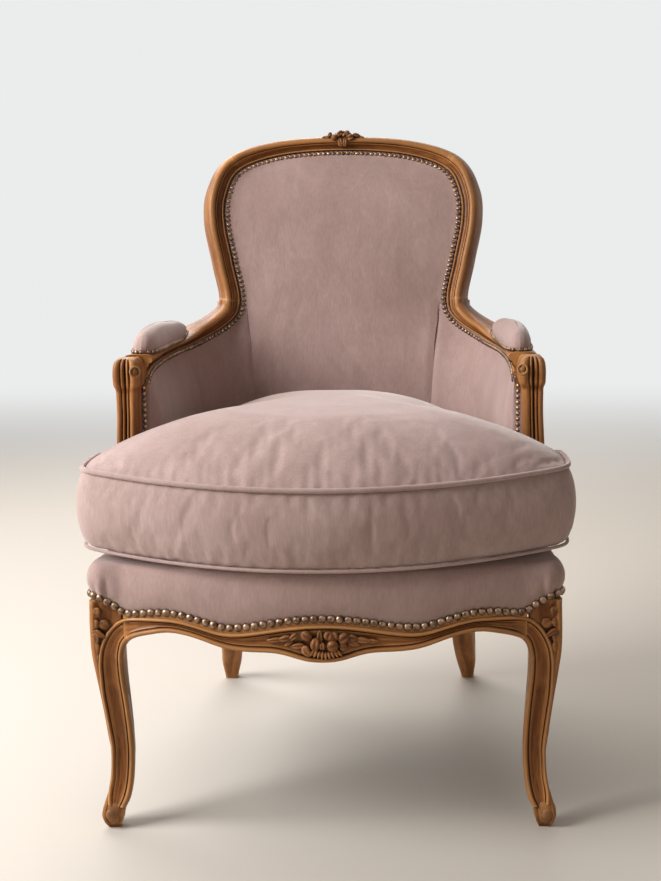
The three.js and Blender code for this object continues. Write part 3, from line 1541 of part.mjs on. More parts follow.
// Wooden frame
add("front_rail", frontRail(), WOOD);
addPair("front_leg", frontLeg(), WOOD);
addPair("side_rail", sideRail(), WOOD);
add("rear_seat_rail", backBar(RAIL_TOP - SIDE_RAIL_HEIGHT, RAIL_TOP), WOOD);
addPair("back_post", backPost(), WOOD);
add("crest_rail", crestRail(), WOOD);
addPair("arm_rail", armRail(), WOOD);
addPair("arm_post", armPost(), WOOD);
add("lower_back_rail", backBar(lowerRailBottom, lowerRailBottom + LOWER_BACK_RAIL_HEIGHT), BARE_WOOD);
addPair("arm_tacking_rail", armTackingRail(), BARE_WOOD);
addPair("front_corner_block", frontCornerBlock(), BARE_WOOD);
addPair("rear_corner_block", rearCornerBlock(), BARE_WOOD);

// Inside of the back and arms
const backPad = insideBackNodes(padEdge);
const backHem = insideBackNodes(HEM_REACH);
add("back_webbing", lattice(backPad), JUTE);
add("back_hessian", evenLayer(backPad, HESSIAN_SET, HESSIAN), JUTE);
add("back_stuffing", stuffing(backPad, backSwell(backPad)), HAIR);
add("back_cover", insideCover(backPad, backHem, LOWER_ROWS, backSwell(backPad)), VELVET_CLOTH);
const armPad = insideArmNodes(padEdge);
const armHem = insideArmNodes(HEM_REACH);
addPair("arm_webbing", lattice(armPad), JUTE);
addPair("arm_stuffing", stuffing(armPad, armSwell(armPad)), HAIR);
addPair("arm_cover", insideCover(armPad, armHem, ARM_ROWS, armSwell(armPad)), VELVET_CLOTH);

// Outside of the back and arms
const outsideBack = outsideCover(outsideBackNodes(false), outsideBackNodes(true), LOWER_ROWS, REAR_SET);
const outsideArm = outsideCover(outsideArmNodes(false), outsideArmNodes(true), OUTSIDE_ARM_ROWS, SIDE_SET);
add("outside_back_cover", outsideBack, VELVET_CLOTH);
addPair("outside_arm_cover", outsideArm, VELVET_CLOTH);

// Arm rests
addPair("arm_rest_stuffing", skin(restRings(VELVET + GAP)), HAIR);
addPair("arm_rest_cover", restCover(), VELVET_CLOTH);
addPair("arm_rest_nails", restNailStrip(), BRASS);

// Seat
add("dust_cover", opening(DUST_COVER_HEIGHT, DUST_COVER_HEIGHT + HESSIAN), BLACK_CLOTH);
add("seat_webbing", seatWebbing(), JUTE);
springPlaces.forEach(([x, y], i) => add(`seat_spring_${i + 1}`, spring(x, y), STEEL));
add("spring_lashing", lashing(), JUTE);
add("seat_hessian", seatHessian(), JUTE);
add("seat_stuffing", seatStuffing(), HAIR);
add("deck_cover", deckCover(), VELVET_CLOTH);

// Nails
add("inside_nails", insideNailStrip(), BRASS);
add("seat_nails", seatNailStrip(), BRASS);

// Loose cushion
add("cushion_filling", cushionFilling(), FILLING);
add("cushion_top", panel(true), VELVET_CLOTH);
add("cushion_bottom", panel(false), VELVET_CLOTH);
add("cushion_border", cushionBorder(), VELVET_CLOTH);
add("cushion_top_piping", piping(true), VELVET_CLOTH);
add("cushion_bottom_piping", piping(false), VELVET_CLOTH);

// The origin is under the middle of the chair
const bounds = new THREE.Box3().setFromObject(chair);
chair.position.y = -(bounds.min.y + bounds.max.y) / 2;

export default chair;
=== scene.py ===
"""Looks of a bergere armchair: carved walnut frame, brushed velvet, antique dome nails and a loose cushion.

Sizes are in millimetres here, as in the frame's drawing, and become metres when a mesh is made.
"""

import json
import math

import bpy
import numpy as np
from mathutils import Euler, Matrix, Vector


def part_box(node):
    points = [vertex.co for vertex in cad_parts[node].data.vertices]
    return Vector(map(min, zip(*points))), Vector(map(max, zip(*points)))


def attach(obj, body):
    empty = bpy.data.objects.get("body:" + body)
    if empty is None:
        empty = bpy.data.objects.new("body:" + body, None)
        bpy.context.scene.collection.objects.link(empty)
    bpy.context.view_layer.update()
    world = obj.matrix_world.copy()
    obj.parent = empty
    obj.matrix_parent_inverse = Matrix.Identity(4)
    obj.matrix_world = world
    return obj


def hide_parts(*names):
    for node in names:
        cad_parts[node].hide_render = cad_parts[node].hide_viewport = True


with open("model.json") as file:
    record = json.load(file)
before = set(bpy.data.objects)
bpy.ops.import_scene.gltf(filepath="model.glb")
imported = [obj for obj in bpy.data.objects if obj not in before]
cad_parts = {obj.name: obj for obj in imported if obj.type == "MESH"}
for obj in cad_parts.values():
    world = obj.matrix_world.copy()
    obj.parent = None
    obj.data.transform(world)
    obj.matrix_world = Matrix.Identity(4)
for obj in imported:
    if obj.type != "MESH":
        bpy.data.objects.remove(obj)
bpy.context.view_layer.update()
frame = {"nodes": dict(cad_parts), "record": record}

MM = 0.001
QUARTER = math.pi / 2

# Heights and plan of the chair
RAIL_TOP = 345.0
DECK_HEIGHT = 388.0
ARM_LINE_HEIGHT = 633.0
CREST_LINE_HEIGHT = 970.0
ARM_HALF_WIDTH = 276.0
BACK_CURVE_HALF_WIDTH = 340.0
WALL_CENTRE_Y = -135.0
BACK_DEPTH_AT_SEAT = 385.0
BACK_RAKE = 0.19
PLAN_POWER = 4

# The frame line, as shares of a quarter turn round the wall and of the rise from arm to crest
FRAME_LINE = [
    (0.052, -0.07), (0.12, -0.03), (0.28, -0.01), (0.45, 0.0), (0.59, 0.018), (0.672, 0.065),
    (0.723, 0.136), (0.741, 0.222), (0.7315, 0.435), (0.722, 0.64), (0.731, 0.773), (0.769, 0.907),
    (0.856, 0.976), (1.0, 1.0),
]
NECK = 7
SHOULDER = 11
LINE_SPANS = 2 * (len(FRAME_LINE) - 1)

# Moulded rails
REBATE_WIDTH = 12.0
STILE_REACH = 31.0
CREST_REACH = 26.0
ARM_TOP_HEIGHT = 655.0
LEVEL_END = 3.0
RISE_SPAN = 1.4
RAIL_BACK = 34.0
BAR_BACK = 32.5
POST_INNER = 10.0

# Section of the moulding: share of the reach outwards from the nail line, millimetres in front of the wall
EDGE_ON_ARM = 3.0
EDGE_ON_STILE = -4.6
EDGE_ON_CREST = -2.4
MOULDING = [
    (0.0, 0.0), (0.14, 0.0), (0.165, 1.8), (0.19, 3.6), (0.225, 4.4), (0.26, 3.7), (0.285, 2.0), (0.3, 0.7),
    (0.34, 0.5), (0.4, 0.9), (0.46, 2.0), (0.52, 3.9), (0.565, 6.2), (0.59, 6.4), (0.6, 5.2), (0.62, 5.4),
    (0.64, 7.6), (0.68, 9.6), (0.74, 10.6), (0.81, 10.7), (0.88, 9.6), (0.94, 7.2), (0.98, 3.8), (1.0, 0.0),
]

# The rail's rounded outer side: millimetres in from the reach, and back from the wall
OUTER_ROUND = [(0.0, 8.0), (0.0, 20.0), (1.2, 27.0), (4.0, 32.0), (8.0, RAIL_BACK)]
JOINT_GAP = 0.004

# Side and rear rails: height, and depth behind the wall
SIDE_RAIL = [
    (275, 12), (275, 30), (276.5, 34), (280, 36.4), (284, 36.4), (287.5, 34.4), (289, 33), (300, 33.4),
    (317, 33.8), (344, 34), (345, 33), (345, 11), (344, 10), (276, 10),
]
REAR_RAIL = [
    (275, 12), (275, 29), (276.5, 32.5), (280, 34.6), (284, 34.6), (287.5, 32.8), (289, 31.6), (300, 32),
    (344, 32.5), (345, 31.5), (345, 11), (344, 10), (276, 10),
]
RAIL_SHOULDER = 16.7
SIDE_FLARE = 8.5

# Back posts: share of a quarter turn at the rail and at the neck, then the rear leg below the rail
POST_TURNS = (0.672, 0.73)
POST_HALF = 16.0
LEG_TOP = 275.0
REAR_FOOT = (222.0, 335.0)
REAR_FOOT_HALF = 12.0
# Share of its height, way to the post, taper and size
REAR_LEG = [
    (0.0, 1.0, 1.0, 0.94), (0.04, 0.955, 0.95, 1.04), (0.12, 0.86, 0.92, 1.36), (0.25, 0.64, 0.62, 1.36),
    (0.5, 0.33, 0.3, 1.26), (0.75, 0.1, 0.08, 1.14), (1.0, 0.0, 0.0, 1.0),
]

# Front rail: share of the half span, underside and nail line as shares of the rail's top
FRONT_RAIL_Y = -375.0
FRONT_RAIL_BOW = 53.0
FRONT_RAIL_BOW_SPAN = 290.0
FRONT_RAIL_DEPTH = 34.0
KNEE_INNER_X = 278.0
FRONT_RAIL = [
    (0.0, 0.764, 0.942), (0.09, 0.769, 0.939), (0.15, 0.788, 0.934), (0.22, 0.802, 0.926),
    (0.36, 0.803, 0.906), (0.48, 0.812, 0.899), (0.6, 0.844, 0.922), (0.74, 0.866, 0.944),
    (0.86, 0.853, 0.94), (0.95, 0.828, 0.927), (1.0, 0.8, 0.93),
]

# Front legs: share of the rail top's height, sweep, knee, half thickness as a share of the knee's
FRONT_FOOT_X = 309.0
FRONT_FOOT_Y = -306.0
KNEE_HALF = 26.0
KNEE_INSET_X = 5.0
KNEE_INSET_Y = 14.0
ANKLE_SWEEP = 18.0
FRONT_LEG = [
    (0.0, 0.2, 0.0, 0.42), (0.025, 0.18, 0.0, 0.53), (0.06, 0.2, 0.0, 0.66), (0.1, 0.36, 0.0, 0.66),
    (0.17, 0.72, 0.0, 0.62), (0.28, 1.0, 0.0, 0.65), (0.41, 0.8, 0.25, 0.76), (0.54, 0.42, 0.7, 0.85),
    (0.66, 0.1, 1.0, 0.93), (0.74, 0.0, 1.0, 1.0), (0.97, 0.0, 1.0, 1.0),
]
# Section of the leg behind its moulding: place across, and from front to back
LEG_SECTION = [
    (-0.86, -0.84), (-0.76, -0.88), (0.0, -0.88), (0.4, -0.88), (0.52, -0.93), (0.6, -1.0), (0.72, -1.02),
    (0.85, -0.95), (0.9, -0.87), (0.94, -0.75), (0.93, -0.6), (0.88, -0.46), (0.82, -0.2), (0.8, 0.0),
    (0.81, 0.2), (0.86, 0.45), (0.9, 0.58), (0.9, 0.78), (0.82, 0.96), (0.5, 1.02), (0.1, 1.03),
    (-0.3, 0.98), (-0.58, 0.74), (-0.76, 0.4), (-0.86, 0.0), (-0.88, -0.5),
]
# The moulding that leaves the front rail, turns at the knee and runs down the leg:
# X and Z of its inner edge, then of its outer edge
KNEE_MOULDING = [
    (228.0, 295.0, 228.0, 317.5), (241.0, 292.5, 245.0, 317.0), (254.0, 289.0, 266.0, 315.5),
    (264.5, 285.0, 280.0, 310.5), (272.5, 279.0, 292.0, 302.0), (278.0, 271.0, 301.0, 292.5),
    (281.0, 260.0, 308.5, 280.0), (282.5, 247.0, 314.0, 265.0), (282.5, 232.0, 317.0, 245.0),
    (281.0, 210.0, 317.0, 222.0), (278.5, 187.0, 316.0, 198.0), (276.5, 162.0, 313.0, 173.0),
    (275.0, 138.0, 310.0, 148.0), (274.5, 114.0, 307.5, 124.0), (275.5, 90.0, 307.5, 100.0),
    (277.5, 66.0, 309.0, 75.0), (281.5, 46.0, 312.5, 53.0), (288.0, 32.0, 312.5, 36.0),
]
KNEE_JOINT = 3.6
KNEE_TRIM = 0.92
# Its section: distance from the inner edge and height, then distance from the outer edge and height
INNER_REED = [
    (0.0, -5.0), (0.1, 0.0), (0.7, 2.0), (2.2, 3.5), (4.0, 4.0), (5.8, 3.2), (7.0, 1.5), (7.6, -1.0),
    (8.5, -1.1), (9.2, 0.4),
]
OUTER_REED = [
    (7.6, 0.5), (6.9, -1.1), (6.2, -1.1), (5.6, 1.0), (4.4, 2.7), (3.0, 3.3), (1.5, 2.7), (0.3, 0.8),
    (0.0, -5.0),
]

# Arm posts: share of the height, outward and forward place, half size as shares of the post's half width
ARM_POST_X = 294.5
ARM_POST_Y = -137.0
ARM_POST_HALF = 19.5
ARM_POST_TOP = 652.0
ARM_POST = [
    (0.0, 0.5, 0.1, 1.05), (0.25, 0.45, 0.0, 0.93), (0.5, 0.36, -0.05, 0.83), (0.625, 0.3, -0.05, 0.79),
    (0.735, 0.24, -0.05, 0.77), (0.82, 0.22, -0.02, 0.79), (0.852, 0.2, 0.0, 0.83),
    (0.868, 0.17, 0.08, 0.95), (0.9, 0.15, 0.13, 1.01), (0.945, 0.15, 0.14, 1.0),
    (0.975, 0.15, 0.11, 0.93), (0.99, 0.15, 0.08, 0.82), (1.0, 0.15, 0.04, 0.64),
]
ARM_POST_SECTION = [
    (-0.98, 1.0), (-1.0, 0.3), (-1.0, -0.5), (-0.95, -0.78), (-0.8, -0.97), (-0.62, -1.03),
    (-0.44, -0.98), (-0.34, -0.87), (-0.29, -0.76), (-0.24, -0.87), (-0.15, -0.95), (-0.06, -0.86),
    (-0.01, -0.66), (0.05, -0.62), (0.1, -0.78), (0.17, -0.89), (0.26, -0.94), (0.35, -0.88),
    (0.4, -0.77), (0.45, -0.89), (0.57, -1.0), (0.72, -1.02), (0.88, -0.93), (0.97, -0.75), (1.0, -0.5),
    (1.0, 0.3), (0.98, 1.0),
]

# Covers
VELVET = 1.6
PAD_EDGE = -12.3
HEM_REACH = 3.0
ARM_CROWN = 17.0
BACK_CROWN = 20.0
SEAM_TURN = 0.758
SEAM_CROWN = 0.8
SEAM_FADE = 80.0
EDGE_SWELL = 3.6
TURN_IN = 10.5
SEAM_LAP = 2.6
SEAM_DIP = 2.4
SEAM_SPAN = 7.0
BACK_CREASES = [
    (-96, 9, 0.5, 0.12), (-62, 7, 0.9, 0.08), (-30, 6, 1.1, -0.05), (-4, 8, 0.7, 0.04),
    (24, 6, 1.2, -0.03), (52, 8, 0.8, 0.06), (84, 7, 0.7, -0.1),
]
PAD_BOTTOM = 390.0
LAP_SHARE = 0.34
OUTER_CROWN = 4.0
# A point of the room that each cover's outer side faces away from
ROOM_POINTS = {
    "back_cover": (0, 900, 700), "arm_cover": (900, 200, 600), "outside_back_cover": (0, 0, 700),
    "outside_arm_cover": (0, 0, 500),
}

# Nails
NAIL_PITCH = 8.5
NAIL_RADIUS = 3.85
SEAT_NAIL_PITCH = 11.6
SEAT_NAIL_RADIUS = 5.9
REST_NAIL_PITCH = 8.6
REST_NAIL_RADIUS = 3.4
POST_NAILS_END = 430.0


# Slack of the lining cloth, reach of the painted shade in recesses and depths of the finest relief, in metres
LINING_SAG = 0.006
LINING_RIPPLE = 0.0008
RECESS_SHADE_REACH = 0.008
PORE_DEPTH = 0.0004
RIPPLE_DEPTH = 0.002
PILE_DEPTH = 0.0007
THREAD_DEPTH = 0.0006
TARNISH_DEPTH = 0.0006


# ---------------------------------------------------------------- numbers


def mix(a, b, t):
    return a + (b - a) * t


def ease(t):
    t = np.clip(t, 0, 1)
    return t * t * (3 - 2 * t)


def shares(steps):
    return np.linspace(0, 1, steps + 1)


def unit(v):
    v = np.asarray(v, float)
    return v / np.maximum(np.linalg.norm(v, axis=-1, keepdims=True), 1e-12)


def curve_table(table, keys):
    """Rows of a table at new keys, on a smooth curve through its rows."""
    table = np.asarray(table, float)
    x, y = table[:, 0], table[:, 1:]
    slope = np.gradient(y, x, axis=0)
    keys = np.clip(np.atleast_1d(keys), x[0], x[-1])
    i = np.clip(np.searchsorted(x, keys, side="right") - 1, 0, len(x) - 2)
    h = (x[i + 1] - x[i])[:, None]
    t = ((keys - x[i]) / h[:, 0])[:, None]
    a, b, m, n = y[i], y[i + 1], slope[i] * h, slope[i + 1] * h
    turn = 3 * t**2 - 2 * t**3
    return (1 - turn) * a + (t**3 - 2 * t**2 + t) * m + turn * b + (t**3 - t**2) * n


def rounded(points, times=2, closed=True):
    """A line of points with its corners cut, several times."""
    p = np.asarray(points, float)
    for _ in range(times):
        q = np.roll(p, -1, axis=0) if closed else p[1:]
        r = p if closed else p[:-1]
        cut = np.stack([r * 0.75 + q * 0.25, r * 0.25 + q * 0.75], 1).reshape(-1, p.shape[1])
        p = cut if closed else np.vstack([p[:1], cut, p[-1:]])
    return p


def run_of(points):
    """Length along a line of points, from its first to each."""
    steps = np.linalg.norm(np.diff(points, axis=0), axis=1)
    return np.concatenate([[0], np.cumsum(steps)])


def evenly(points, count, closed=False):
    """A line of points resampled to a count of equal steps."""
    p = np.asarray(points, float)
    if closed:
        p = np.vstack([p, p[:1]])
    far = run_of(p)
    at = np.linspace(0, far[-1], count + 1 if closed else count)
    if closed:
        at = at[:-1]
    return np.stack([np.interp(at, far, p[:, k]) for k in range(p.shape[1])], 1)


# ---------------------------------------------------------------- the wall and the frame line


def wall_half_width(z):
    rise = (z - ARM_LINE_HEIGHT) / (CREST_LINE_HEIGHT - ARM_LINE_HEIGHT)
    return mix(ARM_HALF_WIDTH, BACK_CURVE_HALF_WIDTH, ease(rise))


def wall_depth(z):
    return BACK_DEPTH_AT_SEAT + BACK_RAKE * (z - DECK_HEIGHT)


def wall_normal(place):
    place = np.asarray(place, float)
    a, b = wall_half_width(place[..., 2]), wall_depth(place[..., 2])
    x, y = place[..., 0] / a, (place[..., 1] - WALL_CENTRE_Y) / b
    odd = PLAN_POWER - 1
    n = np.stack([np.sign(x) * np.abs(x) ** odd / a, np.sign(y) * np.abs(y) ** odd / b, np.zeros_like(x)], -1)
    return unit(n)


def wall(turn, z, depth=0.0):
    turn, z, depth = np.broadcast_arrays(*(np.asarray(value, float) for value in (turn, z, depth)))
    angle = turn * QUARTER
    across = np.abs(np.cos(angle) / wall_half_width(z)) ** PLAN_POWER
    along = np.abs(np.sin(angle) / wall_depth(z)) ** PLAN_POWER
    radius = (across + along) ** (-1 / PLAN_POWER)
    place = np.stack([radius * np.cos(angle), WALL_CENTRE_Y + radius * np.sin(angle), z], -1)
    return place + wall_normal(place) * depth[..., None]


def turn_of(p):
    return math.atan2(p[1] - WALL_CENTRE_Y, p[0]) / QUARTER


def turn_span(length):
    return length / BACK_DEPTH_AT_SEAT / QUARTER


line_points = np.array(FRAME_LINE + [(2 - t, r) for t, r in reversed(FRAME_LINE[:-1])])


def line_share(place):
    """Turn and rise on the frame line, a centripetal curve through its points."""
    place = min(max(place, 0.0), LINE_SPANS)
    i = min(int(place), LINE_SPANS - 1)
    w = place - i
    p1, p2 = line_points[i], line_points[i + 1]
    p0 = line_points[i - 1] if i > 0 else 2 * p1 - p2
    p3 = line_points[i + 2] if i + 2 <= LINE_SPANS else 2 * p2 - p1
    d0, d1, d2 = (math.sqrt(np.linalg.norm(b - a)) for a, b in ((p0, p1), (p1, p2), (p2, p3)))
    t1 = ((p1 - p0) / d0 - (p2 - p0) / (d0 + d1) + (p2 - p1) / d1) * d1
    t2 = ((p2 - p1) / d1 - (p3 - p1) / (d1 + d2) + (p3 - p2) / d2) * d1
    return p1 + t1 * w + (-3 * p1 + 3 * p2 - 2 * t1 - t2) * w**2 + (2 * p1 - 2 * p2 + t1 + t2) * w**3


def line_point(place):
    turn, rise = line_share(place)
    return wall(turn, mix(ARM_LINE_HEIGHT, CREST_LINE_HEIGHT, rise))


def line_frame(place):
    """Point, outward and backward directions of the wood at a place on the line."""
    point = line_point(place)
    along = unit(line_point(min(place + 0.01, LINE_SPANS)) - line_point(max(place - 0.01, 0)))
    back = wall_normal(point)
    return point, unit(np.cross(back, along)), back


def on_frame(place, out, back):
    point, outward, backward = line_frame(place)
    return point + outward * out + backward * back


def edge_shift(place):
    """How far the cloth's nailed edge lies outside the frame line: out over the arms, in on the back."""
    from_end = min(place, LINE_SPANS - place)
    to_middle = 1 - abs(place - LINE_SPANS / 2) / (LINE_SPANS / 2 - SHOULDER + 1)
    on_back = mix(EDGE_ON_STILE, EDGE_ON_CREST, ease(to_middle))
    return mix(EDGE_ON_ARM, on_back, ease((from_end - LEVEL_END - RISE_SPAN) / 2.5))


def reach_at(place):
    to_middle = 1 - abs(place - LINE_SPANS / 2) / (LINE_SPANS / 2 - SHOULDER + 1)
    to_neck = (min(place, LINE_SPANS - place) - LEVEL_END) / RISE_SPAN
    point, out, _ = line_frame(place)
    arm_reach = (ARM_TOP_HEIGHT - point[2]) / max(out[2], 0.5)
    return mix(mix(arm_reach, STILE_REACH, ease(to_neck)), CREST_REACH, ease(to_middle))


def side_flare(turn):
    """How far the side rail swings outwards on its way from the arm post to the front leg."""
    return SIDE_FLARE * float(ease(turn / leg_turn)) if turn < 0 else 0.0


LEG_BACK = FRONT_FOOT_Y + KNEE_INSET_Y + KNEE_HALF + 0.3
leg_turn = turn_of((ARM_HALF_WIDTH, LEG_BACK))
arm_start = turn_of(line_point(0))
neck_height = line_point(NECK)[2]
chair_origin = Vector((0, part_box("arm_rail_right")[0].y - line_point(0)[1] * MM, 0))


# ---------------------------------------------------------------- materials


def new_material(name):
    material = bpy.data.materials.new(name)
    material.use_nodes = True
    nodes = material.node_tree.nodes
    return material, nodes, material.node_tree.links, nodes["Principled BSDF"]


def toned(nodes, links, factor, stops):
    """Colors, or plain values, that follow a factor from stop to stop."""
    node = nodes.new("ShaderNodeValToRGB")
    colors = [((tone,) * 3 if isinstance(tone, (int, float)) else tone) + (1,) for _, tone in stops]
    elements = node.color_ramp.elements
    elements[0].position, elements[0].color = stops[0][0], colors[0]
    elements[1].position, elements[1].color = stops[-1][0], colors[-1]
    for (at, _), color in zip(stops[1:-1], colors[1:-1]):
        elements.new(at).color = color
    links.new(factor, node.inputs["Fac"])
    return node.outputs["Color"]


def grain(nodes, links, source, scale, detail=4.0, distortion=0.0, roughness=0.55):
    """A noise pattern on coordinates stretched by a scale."""
    mapping = nodes.new("ShaderNodeMapping")
    mapping.inputs["Scale"].default_value = scale
    links.new(source, mapping.inputs["Vector"])
    noise = nodes.new("ShaderNodeTexNoise")
    noise.inputs["Scale"].default_value = 1.0
    noise.inputs["Detail"].default_value = detail
    noise.inputs["Distortion"].default_value = distortion
    noise.inputs["Roughness"].default_value = roughness
    links.new(mapping.outputs["Vector"], noise.inputs["Vector"])
    return noise.outputs["Fac"]


def blend_colors(nodes, links, kind, factor, first, second):
    node = nodes.new("ShaderNodeMix")
    node.data_type, node.blend_type = "RGBA", kind
    for name, value in (("Factor", factor), ("A", first), ("B", second)):
        if isinstance(value, bpy.types.NodeSocket):
            links.new(value, node.inputs[name])
        else:
            node.inputs[name].default_value = value if isinstance(value, (int, float)) else (*value, 1)
    return node.outputs["Result"]


def bump(nodes, links, height, strength, distance, under=None):
    node = nodes.new("ShaderNodeBump")
    node.inputs["Strength"].default_value = strength
    node.inputs["Distance"].default_value = distance
    links.new(height, node.inputs["Height"])
    if under is not None:
        links.new(under, node.inputs["Normal"])
    return node.outputs["Normal"]


def finish(surface, **values):
    for name, value in values.items():
        surface.inputs[name.replace("_", " ")].default_value = value


def wood_material(name, dark, middle, light, recess_shade, worn_edge_highlight, follows_piece=True, gloss=0.36, coat=0.1):
    """Waxed wood: streaked grain along the piece, fine pores, painted shade in the recesses, and edges lighter partly
    from wear and partly as a painted highlight.
    """
    material, nodes, links, surface = new_material(name)
    source = nodes.new("ShaderNodeTexCoord").outputs["UV" if follows_piece else "Object"]
    streaks = grain(nodes, links, source, (5, 70, 70), 6, 0.7)
    figure = grain(nodes, links, source, (14, 28, 28), 3, 0.4)
    pores = grain(nodes, links, source, (55, 900, 900), 2, 0.1)
    tone = toned(nodes, links, streaks, [(0.3, dark), (0.5, middle), (0.68, light)])
    shade = toned(nodes, links, figure, [(0.32, (0.62, 0.55, 0.5)), (0.62, (1.15, 1.12, 1.08))])
    color = blend_colors(nodes, links, "MULTIPLY", 1.0, tone, shade)
    pore = toned(nodes, links, pores, [(0.36, (0.45, 0.38, 0.32)), (0.5, 1)])
    color = blend_colors(nodes, links, "MULTIPLY", 0.55, color, pore)
    # Painted shade: ambient occlusion darkens the colour towards the recess shade colour in hollows and crevices.
    hollow = nodes.new("ShaderNodeAmbientOcclusion")
    hollow.inputs["Distance"].default_value = RECESS_SHADE_REACH
    hollow.samples = 8
    painted_recess_shade = toned(nodes, links, hollow.outputs["AO"], [(0.22, 0.9), (0.8, 0)])
    color = blend_colors(nodes, links, "MIX", painted_recess_shade, color, recess_shade)
    # Lighter colour on sharp edges, found by pointiness: partly wear, partly a painted highlight.
    edges = nodes.new("ShaderNodeNewGeometry").outputs["Pointiness"]
    color = blend_colors(nodes, links, "MIX", toned(nodes, links, edges, [(0.505, 0), (0.57, 0.7)]), color, worn_edge_highlight)
    links.new(color, surface.inputs["Base Color"])
    rough = toned(nodes, links, figure, [(0.3, gloss + 0.14), (0.7, gloss - 0.06)])
    links.new(rough, surface.inputs["Roughness"])
    finish(surface, Coat_Weight=coat, Coat_Roughness=0.2, Specular_IOR_Level=0.12)
    links.new(bump(nodes, links, pores, 0.25, PORE_DEPTH), surface.inputs["Normal"])
    return material


def velvet_material(name, deep, pale, seed=0.0):
    """Cotton velvet: a brushed nap in soft patches, short pile and a pale sheen."""
    material, nodes, links, surface = new_material(name)
    place = nodes.new("ShaderNodeTexCoord")
    shifted = nodes.new("ShaderNodeMapping")
    shifted.inputs["Location"].default_value = (seed, seed / 2, seed / 3)
    links.new(place.outputs["Object"], shifted.inputs["Vector"])
    source = shifted.outputs["Vector"]
    patches = grain(nodes, links, source, (6, 6, 4.5), 5, 0.9)
    brushed = grain(nodes, links, source, (30, 34, 12), 4, 1.2)
    pile = grain(nodes, links, source, (1500, 1500, 1500), 2, 0.0)
    weave = grain(nodes, links, source, (420, 420, 60), 2, 0.0)
    tone = toned(nodes, links, patches, [(0.3, deep), (0.7, pale)])
    streak = toned(nodes, links, brushed, [(0.34, (0.93, 0.925, 0.92)), (0.68, 1.05)])
    thread = toned(nodes, links, weave, [(0.4, (0.93, 0.92, 0.92)), (0.62, 1.04)])
    color = blend_colors(nodes, links, "MULTIPLY", 1.0, tone, streak)
    color = blend_colors(nodes, links, "MULTIPLY", 0.8, color, thread)
    links.new(color, surface.inputs["Base Color"])
    finish(surface, Roughness=0.9, Sheen_Weight=0.6, Sheen_Roughness=0.38, Sheen_Tint=(1.0, 0.93, 0.9, 1))
    finish(surface, Specular_IOR_Level=0.2)
    ripple = bump(nodes, links, brushed, 0.3, RIPPLE_DEPTH)
    links.new(bump(nodes, links, pile, 0.35, PILE_DEPTH, ripple), surface.inputs["Normal"])
    return material


def cloth_material(name, warp, weft, threads):
    """Plain coarse cloth: crossed threads with a little unevenness."""
    material, nodes, links, surface = new_material(name)
    source = nodes.new("ShaderNodeTexCoord").outputs["Object"]
    across = grain(nodes, links, source, (threads, threads / 12, threads / 12), 2)
    along = grain(nodes, links, source, (threads / 12, threads, threads), 2)
    tone = toned(nodes, links, across, [(0.38, warp), (0.64, weft)])
    color = blend_colors(nodes, links, "MULTIPLY", 1.0, tone, toned(nodes, links, along, [(0.38, 0.7), (0.62, 1.1)]))
    links.new(color, surface.inputs["Base Color"])
    finish(surface, Roughness=0.95)
    links.new(bump(nodes, links, along, 0.5, THREAD_DEPTH), surface.inputs["Normal"])
    return material


def metal_material(name, dark, bright, rough):
    """Antiqued metal: tarnish in patches, brighter where the tarnish is worn away."""
    material, nodes, links, surface = new_material(name)
    tarnish = grain(nodes, links, nodes.new("ShaderNodeTexCoord").outputs["Object"], (160, 160, 160), 3, 0.3)
    links.new(toned(nodes, links, tarnish, [(0.36, dark), (0.64, bright)]), surface.inputs["Base Color"])
    finish(surface, Metallic=0.85)
    dulled = toned(nodes, links, tarnish, [(0.35, rough + 0.16), (0.65, rough)])
    links.new(dulled, surface.inputs["Roughness"])
    links.new(bump(nodes, links, tarnish, 0.2, TARNISH_DEPTH), surface.inputs["Normal"])
    return material



walnut = wood_material(
    "waxed_walnut", (0.11, 0.036, 0.009), (0.25, 0.094, 0.025), (0.41, 0.175, 0.054),
    recess_shade=(0.026, 0.008, 0.002), worn_edge_highlight=(0.56, 0.28, 0.105),
)
plain_walnut = wood_material(
    "walnut_of_carvings_and_hidden_rails", (0.1, 0.034, 0.01), (0.22, 0.085, 0.026), (0.34, 0.15, 0.052),
    recess_shade=(0.024, 0.008, 0.003), worn_edge_highlight=(0.46, 0.24, 0.1), follows_piece=False,
)
beech = wood_material(
    "bare_beech", (0.3, 0.17, 0.08), (0.45, 0.28, 0.14), (0.58, 0.39, 0.22),
    recess_shade=(0.16, 0.08, 0.04), worn_edge_highlight=(0.6, 0.42, 0.25), follows_piece=False, gloss=0.6, coat=0.0,
)
velvet = velvet_material("brushed_velvet", (0.345, 0.232, 0.206), (0.405, 0.284, 0.257))
# The cushion's velvet is the same cloth in a paler, greyer tone: painted light, for the light that falls on the
# cushion's top.
velvet_painted_paler = velvet_material("brushed_velvet_painted_paler_for_light", (0.36, 0.248, 0.222), (0.43, 0.31, 0.284), 3.1)
jute = cloth_material("jute_webbing", (0.24, 0.17, 0.09), (0.46, 0.35, 0.2), 700)
hair = cloth_material("hair_stuffing", (0.03, 0.022, 0.015), (0.09, 0.07, 0.05), 500)
black_cloth = cloth_material("black_lining_cloth", (0.012, 0.011, 0.01), (0.035, 0.032, 0.03), 900)
ticking = cloth_material("cushion_ticking", (0.6, 0.56, 0.5), (0.75, 0.72, 0.66), 900)
nail_metal = metal_material("antique_brass", (0.085, 0.047, 0.028), (0.37, 0.24, 0.155), 0.32)
spring_steel = metal_material("coppered_steel", (0.2, 0.14, 0.1), (0.45, 0.4, 0.36), 0.4)


# ---------------------------------------------------------------- pieces


def deselect():
    for obj in bpy.context.selected_objects:
        obj.select_set(False)


def activate(obj):
    deselect()
    obj.select_set(True)
    bpy.context.view_layer.objects.active = obj


